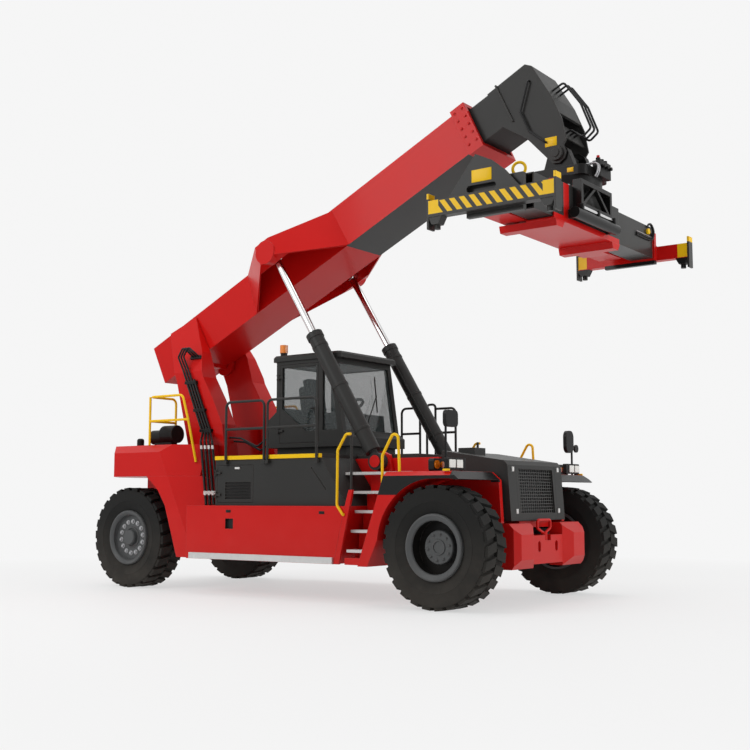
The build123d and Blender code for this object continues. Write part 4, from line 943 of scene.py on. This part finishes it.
ARM_LEFT_PAINT = Paint(
    "arm_left_paint",
    RED,
    0.36,
    zones=(
        Zone((2.6, -2.0, 4.9), (4.7, 2.06, 5.9), GREY),
        Zone((2.6, 2.0, 5.165), (2.86, 2.3, 5.6), YELLOW),
        Zone((4.39, 2.0, 5.165), (4.7, 2.3, 5.6), YELLOW),
        Zone((2.6, 2.0, 4.9), (2.71, 2.3, 5.40), GREY),
        Zone((4.546, 2.0, 4.9), (4.7, 2.3, 5.40), GREY),
        Zone((2.71, 2.0, 4.9), (4.546, 2.3, 5.157), BLACK),
    ),
)
BEACON_PAINT = Paint("beacon_foot", BLACK, 0.5)
LAMP_SPLIT_X = 2.7
BEACON_FOOT = 0.061
# Radii and half depth of the front rims' recessed dish, painted black as painted shade.
DISH_RADII = (0.226, 0.424)
DISH_HALF = 0.24

DRESS = {
    RED_PAINT: "chassis_frame counterweight rear_legs boom_tower steps bumper tow_pin lift_mounts",
    fender_paint(Side.RIGHT): "fender_right",
    fender_paint(Side.LEFT): "fender_left",
    TANK_PAINT: "side_tanks",
    DECK_PAINT: "deck",
    DOOR_PAINT: "box_door",
    HOOD_PAINT: "hood",
    PIPE_PAINT: "tower_pipes",
    BEAM_PAINT: "spreader_beam",
    ARM_RIGHT_PAINT: "arm_right",
    ARM_LEFT_PAINT: "arm_left",
    GREY_PAINT: (
        "tool_box left_box cab_shell cab_roof cab_door cab_console lift_barrel_right lift_barrel_left"
        " boom_inner grey_rails"
    ),
    BLACK_PAINT: "lamp_pods mirrors air_cleaner head_yoke",
    GRILLE_PAINT: "grille",
    BOOM_PAINT: "boom_outer",
    YELLOW_PAINT: "yellow_rails",
    CHROME: "lift_rod_right lift_rod_left",
    CAST: "engine front_axle rear_axle knuckle_right knuckle_left",
    RIM_GREY: "rim_rear_right rim_rear_left",
    TYRE_RUBBER: "tyre_front_right tyre_front_left tyre_rear_right tyre_rear_left",
    HOSE_RUBBER: "hoses head_hoses",
    TREAD_ZINC: "treads",
    WINDOW: "cab_glass cab_door_glass",
    FABRIC: "cab_seat",
}


@dataclass
class WheelTrim:
    """The nuts, hub ring and lock ring of one wheel, and the line moulded on its tyre."""

    axle: Axle
    side: Side
    hub_face: float
    nut_ring: float
    nuts: int
    nut_size: float
    boss: float
    dish: float
    lip_face: float = 0.250
    lip_radius: float = 0.436
    line_face: float = 0.261
    line_radius: float = 0.603

    def build(self) -> None:
        """Makes the trim and sets it on its wheel."""
        name = f"{self.axle.value}_{self.side.name.lower()}"
        low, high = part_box("rim_" + name)
        centre = (low + high) / 2
        way = (0.0, float(self.side.value), 0.0)
        face = centre + Vector(way) * self.hub_face
        nuts = Form()
        for x, z in circle(self.nuts, self.nut_ring, 9.0):
            nuts.bolt(face + Vector((x, 0.0, z)), way, self.nut_size)
        nuts.piece("nuts_" + name, "wheel_" + name, STEEL if self.axle is Axle.REAR else RIM_GREY, Slot.RIM)
        rings = Form()
        boss = self.boss
        collar = [(boss - 0.03, 0.0), (boss, 0.0), (boss - 0.004, 0.014), (boss - 0.026, 0.014)]
        rings.lathe(collar, face, way)
        lip = centre + Vector(way) * self.lip_face
        edge = self.lip_radius
        flange = [(edge, -0.01), (edge, 0.008), (edge - 0.016, 0.012), (edge - 0.03, 0.006)]
        flange += [(self.dish + 0.012, -0.012), (self.dish, -0.03), (self.dish + 0.004, -0.045)]
        rings.lathe(flange, lip, way, 72)
        rings.piece("hub_rings_" + name, "wheel_" + name, RIM_GREY, Slot.RIM)
        line = centre + Vector(way) * self.line_face
        bead = [(self.line_radius + a, b) for a, b in circle(8, 0.006)]
        moulded = Form().lathe(bead, line, way, 104)
        moulded.piece("tyre_line_" + name, "wheel_" + name, TYRE_RUBBER, Slot.RUBBER)


@dataclass
class SideTrim:
    """Black plates that paint the shade in the slots of the right side panel, and yellow markers on the
    mudguards.
    """

    panel_y: float = -1.75
    slot_size: Pair = (0.10, 0.042)
    slots: tuple[Pair, ...] = ((-1.332, 1.274), (0.495, 1.265))
    marker: Point = (2.75, 1.955, 1.842)
    marker_size: Point = (0.10, 0.035, 0.03)

    def build(self) -> None:
        """Makes the black plates of painted shade for the slots, and the markers."""
        plates = Form()
        wide, high = self.slot_size
        # Thin black plates on the panel stand in for the shade inside the slots: painted shade.
        for x, z in self.slots:
            low = (x - wide / 2, self.panel_y - 0.004, z - high / 2)
            plates.block(low, (x + wide / 2, self.panel_y, z + high / 2), 0.0015)
        plates.piece("panel_slot_shade", "chassis", BLACK_PAINT, Slot.BLACK)
        markers = Form()
        for side in Side:
            place = Vector((self.marker[0], side.value * self.marker[1], self.marker[2]))
            half = Vector(self.marker_size) / 2
            markers.block(place - half, place + half, 0.006)
        markers.piece("edge_markers", "chassis", YELLOW_PAINT, Slot.YELLOW)


@dataclass
class HoodTrim:
    """The pale fasteners on the hood's nose."""

    nose_foot: Pair = (3.065, 1.16)
    nose_lean: float = 0.055 / 0.775
    clips: tuple[Pair, ...] = ((-0.66, 1.875), (0.677, 1.885), (-0.622, 1.29), (0.622, 1.29))
    clip: float = 0.026

    def build(self) -> None:
        """Makes the fasteners."""
        form = Form()
        for y, z in self.clips:
            x = self.nose_foot[0] - self.nose_lean * (z - self.nose_foot[1])
            low = (x - 0.01, y - self.clip, z - self.clip * 1.3)
            form.block(low, (x + 0.012, y + self.clip, z + self.clip * 1.3), 0.006)
        form.piece("nose_clips", "hood", WHITE_PAINT, Slot.LENS)


@dataclass
class CabTrim:
    """The driver's seat, the wiper, the door's handle and the mirrors' glass."""

    seat_x: float = -1.05
    floor: float = 2.33
    screen_foot: Pair = (0.100, 2.51)
    screen_lean: float = 0.17 / 1.145
    door_y: float = -0.75
    handle_x: Pair = (-0.52, -0.42)
    handle_z: Pair = (2.86, 2.89)
    wiper_foot: Pair = (-0.18, 2.56)
    wiper_tip: Pair = (0.22, 3.12)
    blade_y: Pair = (0.20, 0.24)
    blade_z: Pair = (2.84, 3.42)
    mirror_right: tuple[Point, Point] = ((2.639, -1.835, 2.445), (2.643, -1.605, 2.62))
    mirror_left: tuple[Point, Point] = ((2.639, 1.66, 2.235), (2.643, 1.825, 2.475))

    def build(self) -> None:
        """Makes each piece of the cab."""
        self.seat()
        self.wiper()
        y = self.door_y
        rear, front = self.handle_x
        low, high = self.handle_z
        handle = Form().block((rear, y - 0.035, low), (front, y - 0.02, high), 0.006)
        for x in (rear + 0.005, front - 0.015):
            handle.block((x, y - 0.03, low + 0.005), (x + 0.015, y + 0.002, high - 0.005), 0.002)
        handle.piece("cab_door_handle", "cab_door", BLACK_PAINT, Slot.BLACK)
        self.mirror_faces()

    def seat(self) -> None:
        """Cushion, back and head rest as padded pieces on a plain box."""
        x = self.seat_x
        z = self.floor
        pads = Form()
        pads.pillow((x - 0.05, -0.275, z + 0.315), (x + 0.50, 0.275, z + 0.485))
        pads.pillow((x - 0.135, -0.265, z + 0.46), (x + 0.02, 0.265, z + 0.98), -9.2)
        pads.pillow((x - 0.155, -0.15, z + 0.93), (x - 0.035, 0.15, z + 1.10), -9.2)
        cushions = pads.piece("seat_cushions", "chassis", FABRIC, Slot.FABRIC)
        soft = cushions.modifiers.new("soft", "SUBSURF")
        soft.levels = 1
        soft.render_levels = 1
        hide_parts("cab_seat")
        base = Form().block((x, -0.23, z), (x + 0.42, 0.23, z + 0.335), 0.012)
        base.piece("seat_box", "chassis", BLACK_PAINT, Slot.BLACK)

    def screen(self, z: float) -> float:
        """The windscreen's X at a height."""
        return self.screen_foot[0] - self.screen_lean * (z - self.screen_foot[1])

    def wiper(self) -> None:
        """The windscreen wiper, parked across the middle."""
        form = Form()
        y, z = self.wiper_foot
        foot = (self.screen(z) + 0.03, y, z)
        y, z = self.wiper_tip
        form.rod(foot, (self.screen(z) + 0.028, y, z), 0.009, 10)
        form.rod((foot[0] - 0.03, foot[1], foot[2]), (foot[0] + 0.015, foot[1], foot[2]), 0.024, 16, 0.004)
        low, high = ((self.screen(z) + 0.014, y, z) for y, z in zip(self.blade_y, self.blade_z))
        form.rod(low, high, 0.011, 8)
        form.piece("wiper", "chassis", BLACK_PAINT, Slot.BLACK)

    def mirror_faces(self) -> None:
        """The silvered faces of the mirrors, which look back."""
        form = Form()
        for low, high in (self.mirror_right, self.mirror_left):
            form.block(low, high, 0.0015)
        form.piece("mirror_faces", "chassis", CHROME, Slot.CHROME)


@dataclass
class BoomTrim:
    """Bolts on the boom's collar and a blank plate on the head."""

    pivot: Point = BOOM_PIVOT
    pitch: float = BOOM_PITCH
    collar: Pair = (6.40, 6.54)
    collar_half: float = 0.49
    collar_top: float = 0.71
    bolt: float = 0.017
    plate_low: Pair = (3.45, 6.452)
    plate_high: Pair = (3.638, 6.587)
    head_half: float = 0.375
    row: int = 5
    side_row: Pair = (0.06, 0.145)
    top_row: Pair = (-0.36, 0.18)

    def at(self, u: float, y: float, v: float) -> Vector:
        """A point of the boom's own side view, in the machine's frame.

        Args:
            u: along the boom.
            y: across the machine.
            v: up from the boom's line.

        Returns:
            The point.
        """
        turn = math.radians(self.pitch)
        x = self.pivot[0] + u * math.cos(turn) - v * math.sin(turn)
        return Vector((x, y, self.pivot[2] + u * math.sin(turn) + v * math.cos(turn)))

    def build(self) -> None:
        """Makes the bolts and the plate."""
        turn = math.radians(self.pitch)
        up = (-math.sin(turn), 0.0, math.cos(turn))
        bolts = Form()
        for u in self.collar:
            for i in range(self.row):
                for side in Side:
                    place = self.at(u, side.value * self.collar_half, self.side_row[0] + self.side_row[1] * i)
                    bolts.bolt(place, (0.0, side.value, 0.0), self.bolt)
                bolts.bolt(self.at(u, self.top_row[0] + self.top_row[1] * i, self.collar_top), up, self.bolt)
        bolts.piece("collar_bolts", "boom", RED_PAINT, Slot.RED)
        plate = Form()
        low = (self.plate_low[0], -self.head_half - 0.004, self.plate_low[1])
        plate.block(low, (self.plate_high[0], -self.head_half, self.plate_high[1]), 0.0015)
        plate.piece("head_plate", "inner_boom", YELLOW_PAINT, Slot.YELLOW)


@dataclass
class LiftTrim:
    """The clamps and the hard pipe on each lift barrel."""

    base: Pair = (0.95, 2.01)
    across: float = 1.0
    barrel: float = 0.122
    clamps: tuple[float, ...] = (0.55, 1.35, 2.1)
    clamp_half: float = 0.02
    eye: float = 0.12
    pipe_run: Pair = (0.42, 2.2)
    pipe_out: float = 0.03

    def at(self, s: float, y: float, out: float) -> Vector:
        """A point along a barrel, out from its line towards the front.

        Args:
            s: along the barrel.
            y: across the machine.
            out: away from the line.

        Returns:
            The point.
        """
        turn = self.lean()
        x = self.base[0] + s * math.cos(turn) + out * math.sin(turn)
        return Vector((x, y, self.base[1] + s * math.sin(turn) - out * math.cos(turn)))

    def lean(self) -> float:
        """The barrels' angle above the ground at rest, from the box of one of them."""
        low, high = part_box("lift_rod_right")
        return math.atan2(high.z - self.eye - self.base[1], low.x + self.eye - self.base[0])

    def build(self) -> None:
        """Makes the trim of both barrels."""
        for side in Side:
            name = side.name.lower()
            y = side.value * self.across
            bands = Form()
            way = self.at(1.0, y, 0.0) - self.at(0.0, y, 0.0)
            inside = self.barrel - 0.002
            outer = self.barrel + 0.007
            for s in self.clamps:
                half = self.clamp_half
                ring = [(inside, -half), (outer, -half), (outer, half), (inside, half)]
                bands.lathe(ring, self.at(s, y, 0.0), way, 40)
                inner = y - side.value * (self.barrel + 0.012)
                bands.bolt(self.at(s, inner, 0.0), (0.0, -side.value, 0.0), 0.012)
            pipe_y = y - side.value * (self.barrel + 0.016)
            start, end = (self.at(s, pipe_y, self.pipe_out) for s in self.pipe_run)
            bands.rod(start, end, 0.012, 12)
            bands.piece("barrel_bands_" + name, "lift_barrel_" + name, GREY_PAINT, Slot.GREY)


@dataclass
class SpreaderTrim:
    """Valves and pipes on the yoke, blank plates, lifting ring and hose loop on the arms."""

    slew_x: float = SLEW_X
    end_y: float = 2.28
    beam_low: float = 5.16
    ring_top: float = 5.98
    yoke_top: float = 6.12
    arm_face: float = 0.39
    coil_rows: tuple[float, ...] = (-0.06, 0.05, 0.16)
    pipe_rows: tuple[float, ...] = (-0.24, -0.19)
    yoke_plate: tuple[Point, Point] = ((3.80, -0.404, 6.02), (3.90, -0.4, 6.085))
    ring_place: Point = (3.88, -1.93, 5.70)
    ring_lean: Point = (0.25, -1.0, 0.0)
    ring_radii: Pair = (0.085, 0.02)
    disc: Pair = (1.86, 5.575)
    run_y: Pair = (1.43, 2.04)
    clamp_rows: tuple[float, ...] = (-0.80, -0.30, 0.22)

    def build(self) -> None:
        """Makes the pieces of each body."""
        self.valves()
        self.right_arm()
        self.left_arm()
        self.turntable()

    def valves(self) -> None:
        """The valve stack's coils, its red cap and the bright pipes beside it."""
        front = self.slew_x + 0.55
        top = self.yoke_top + 0.09
        coils = Form()
        for y in self.coil_rows:
            coils.rod((front - 0.06, y, top), (front - 0.06, y, top + 0.05), 0.034, 16, 0.005)
            coils.rod((front, y, top - 0.08), (front + 0.05, y, top - 0.08), 0.026, 16, 0.004)
        coils.piece("valve_coils", "head", BLACK_PAINT, Slot.BLACK)
        x = front - 0.06
        cap = Form().rod((x, -0.06, top + 0.05), (x, -0.06, top + 0.085), 0.022, 16, 0.006)
        cap.piece("valve_cap", "head", RED_PAINT, Slot.RED)
        pipes = Form()
        for y in self.pipe_rows:
            start = (front - 0.16, y, self.yoke_top + 0.02)
            knee = (front + 0.02, y, self.yoke_top + 0.05)
            end = (front - 0.03, y, self.ring_top - 0.03)
            pipes.hose([start, knee, (front + 0.02, y, self.ring_top + 0.02), end], 0.011)
        pipes.piece("yoke_pipes", "head", STEEL, Slot.CHROME)
        plate = Form().block(*self.yoke_plate, 0.0015)
        plate.piece("yoke_plate", "head", YELLOW_PAINT, Slot.YELLOW)

    def right_arm(self) -> None:
        """The blank plate on the gusset and the yellow lifting ring behind it."""
        face = -self.end_y + 0.055
        plate = Form().block((3.344, face - 0.005, 5.532), (3.642, face, 5.697), 0.002)
        radius, thick = self.ring_radii
        bead = [(radius + a, b) for a, b in circle(10, thick)]
        plate.lathe(bead, self.ring_place, self.ring_lean, 32)
        plate.piece("arm_plate_and_ring", "arm_right", YELLOW_PAINT, Slot.YELLOW)

    def left_arm(self) -> None:
        """The yellow disc, the bright pipe and the black hoses on the left arm's front face."""
        face = self.slew_x + self.arm_face
        y, z = self.disc
        disc = Form().rod((face - 0.002, y, z), (face + 0.04, y, z), 0.045, 20, 0.006)
        disc.piece("arm_disc", "arm_left", YELLOW_PAINT, Slot.YELLOW)
        start, end = ((face + 0.007, y, 5.51) for y in self.run_y)
        pipe = Form().rod(start, end, 0.009, 12)
        pipe.piece("arm_pipe", "arm_left", STEEL, Slot.CHROME)
        loop = Form()
        for z, out in ((5.478, 0.012), (5.448, 0.03)):
            points = [(face + 0.012, y, z) for y in (1.43, 1.7, 1.92)]
            points += [(face + out, 2.02, z + 0.02), (face + out + 0.02, 2.03, 5.6), (face + out, 1.99, 5.7)]
            points += [(face + out, 1.89, 5.71), (face + 0.012, 1.84, 5.64)]
            loop.hose(points, 0.013)
        loop.piece("arm_hose_loop", "arm_left", HOSE_RUBBER, Slot.HOSE)

    def turntable(self) -> None:
        """Bolts round the slewing ring's lower half, and the shift rod with its clamps."""
        bolts = Form()
        for x, y in circle(28, 0.474):
            way = (x, y, 0.0)
            bolts.bolt((self.slew_x + x * 0.992, y * 0.992, 5.828), way, 0.013)
        bolts.piece("ring_bolts", "spreader", STEEL, Slot.CHROME)
        x = self.slew_x + 0.56
        z = self.beam_low + 0.235
        rod = Form().rod((x, -0.78, z), (x, 0.26, z), 0.026, 20, 0.004)
        rod.piece("shift_rod", "spreader", CHROME, Slot.CHROME)
        clamps = Form()
        for y in self.clamp_rows:
            clamps.block((x - 0.05, y, z - 0.06), (x + 0.04, y + 0.05, z + 0.04), 0.008)
        clamps.piece("shift_rod_clamps", "spreader", BLACK_PAINT, Slot.BLACK)


def dress_nodes() -> None:
    """Gives each CAD node its finish, and the lamps, the front rims and the beacon two each."""
    for finish, names in DRESS.items():
        for name in names.split():
            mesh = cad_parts[name].data
            mesh.materials.clear()
            mesh.materials.append(finish.material())
            log.info("%s dressed in %s", name, finish.name)
    split_node("lamp_lenses", AMBER, LENS, lambda place: place.x > LAMP_SPLIT_X)
    for side in Side:
        name = "rim_front_" + side.name.lower()
        middle = sum(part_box(name), Vector()) / 2
        # The recessed dish of each front rim takes black paint as painted shade.
        split_node(name, RIM_GREY, BLACK_PAINT, lambda place: in_shaded_dish(place - middle))
    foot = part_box("cab_roof")[1].z + BEACON_FOOT
    split_node("beacon", BEACON_PAINT, AMBER, lambda place: place.z > foot)


def in_shaded_dish(place: Vector) -> bool:
    """Whether a point of a front rim, seen from its middle, lies in the recessed dish round the hub, which is
    painted black as painted shade.
    """
    inner, outer = DISH_RADII
    return inner < math.hypot(place.x, place.z) < outer and abs(place.y) < DISH_HALF


def split_node(name: str, first: Finish, second: Finish, test: Callable[[Vector], bool]) -> None:
    """Dresses a node in two finishes.

    Args:
        name: the node.
        first: the finish of most faces.
        second: the finish of the faces that the test picks.
        test: tells by a face's middle whether it takes the second finish.
    """
    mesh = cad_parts[name].data
    mesh.materials.clear()
    mesh.materials.append(first.material())
    mesh.materials.append(second.material())
    for polygon in mesh.polygons:
        polygon.material_index = int(test(polygon.center))
    log.info("%s dressed in %s and %s", name, first.name, second.name)


def main() -> None:
    """Builds the studio, dresses the machine and adds its trim."""
    logging.basicConfig(level=logging.INFO, format="%(name)s: %(message)s")
    Studio().build()
    dress_nodes()
    front = {"hub_face": 0.12, "nut_ring": 0.172, "nuts": 10, "nut_size": 0.015, "boss": 0.105, "dish": 0.352}
    rear = {"hub_face": 0.15, "nut_ring": 0.262, "nuts": 14, "nut_size": 0.027, "boss": 0.175, "dish": 0.372}
    for side in Side:
        WheelTrim(Axle.FRONT, side, **front).build()
        WheelTrim(Axle.REAR, side, **rear).build()
    SideTrim().build()
    HoodTrim().build()
    CabTrim().build()
    BoomTrim().build()
    LiftTrim().build()
    SpreaderTrim().build()


if __name__ == "__main__":
    main()
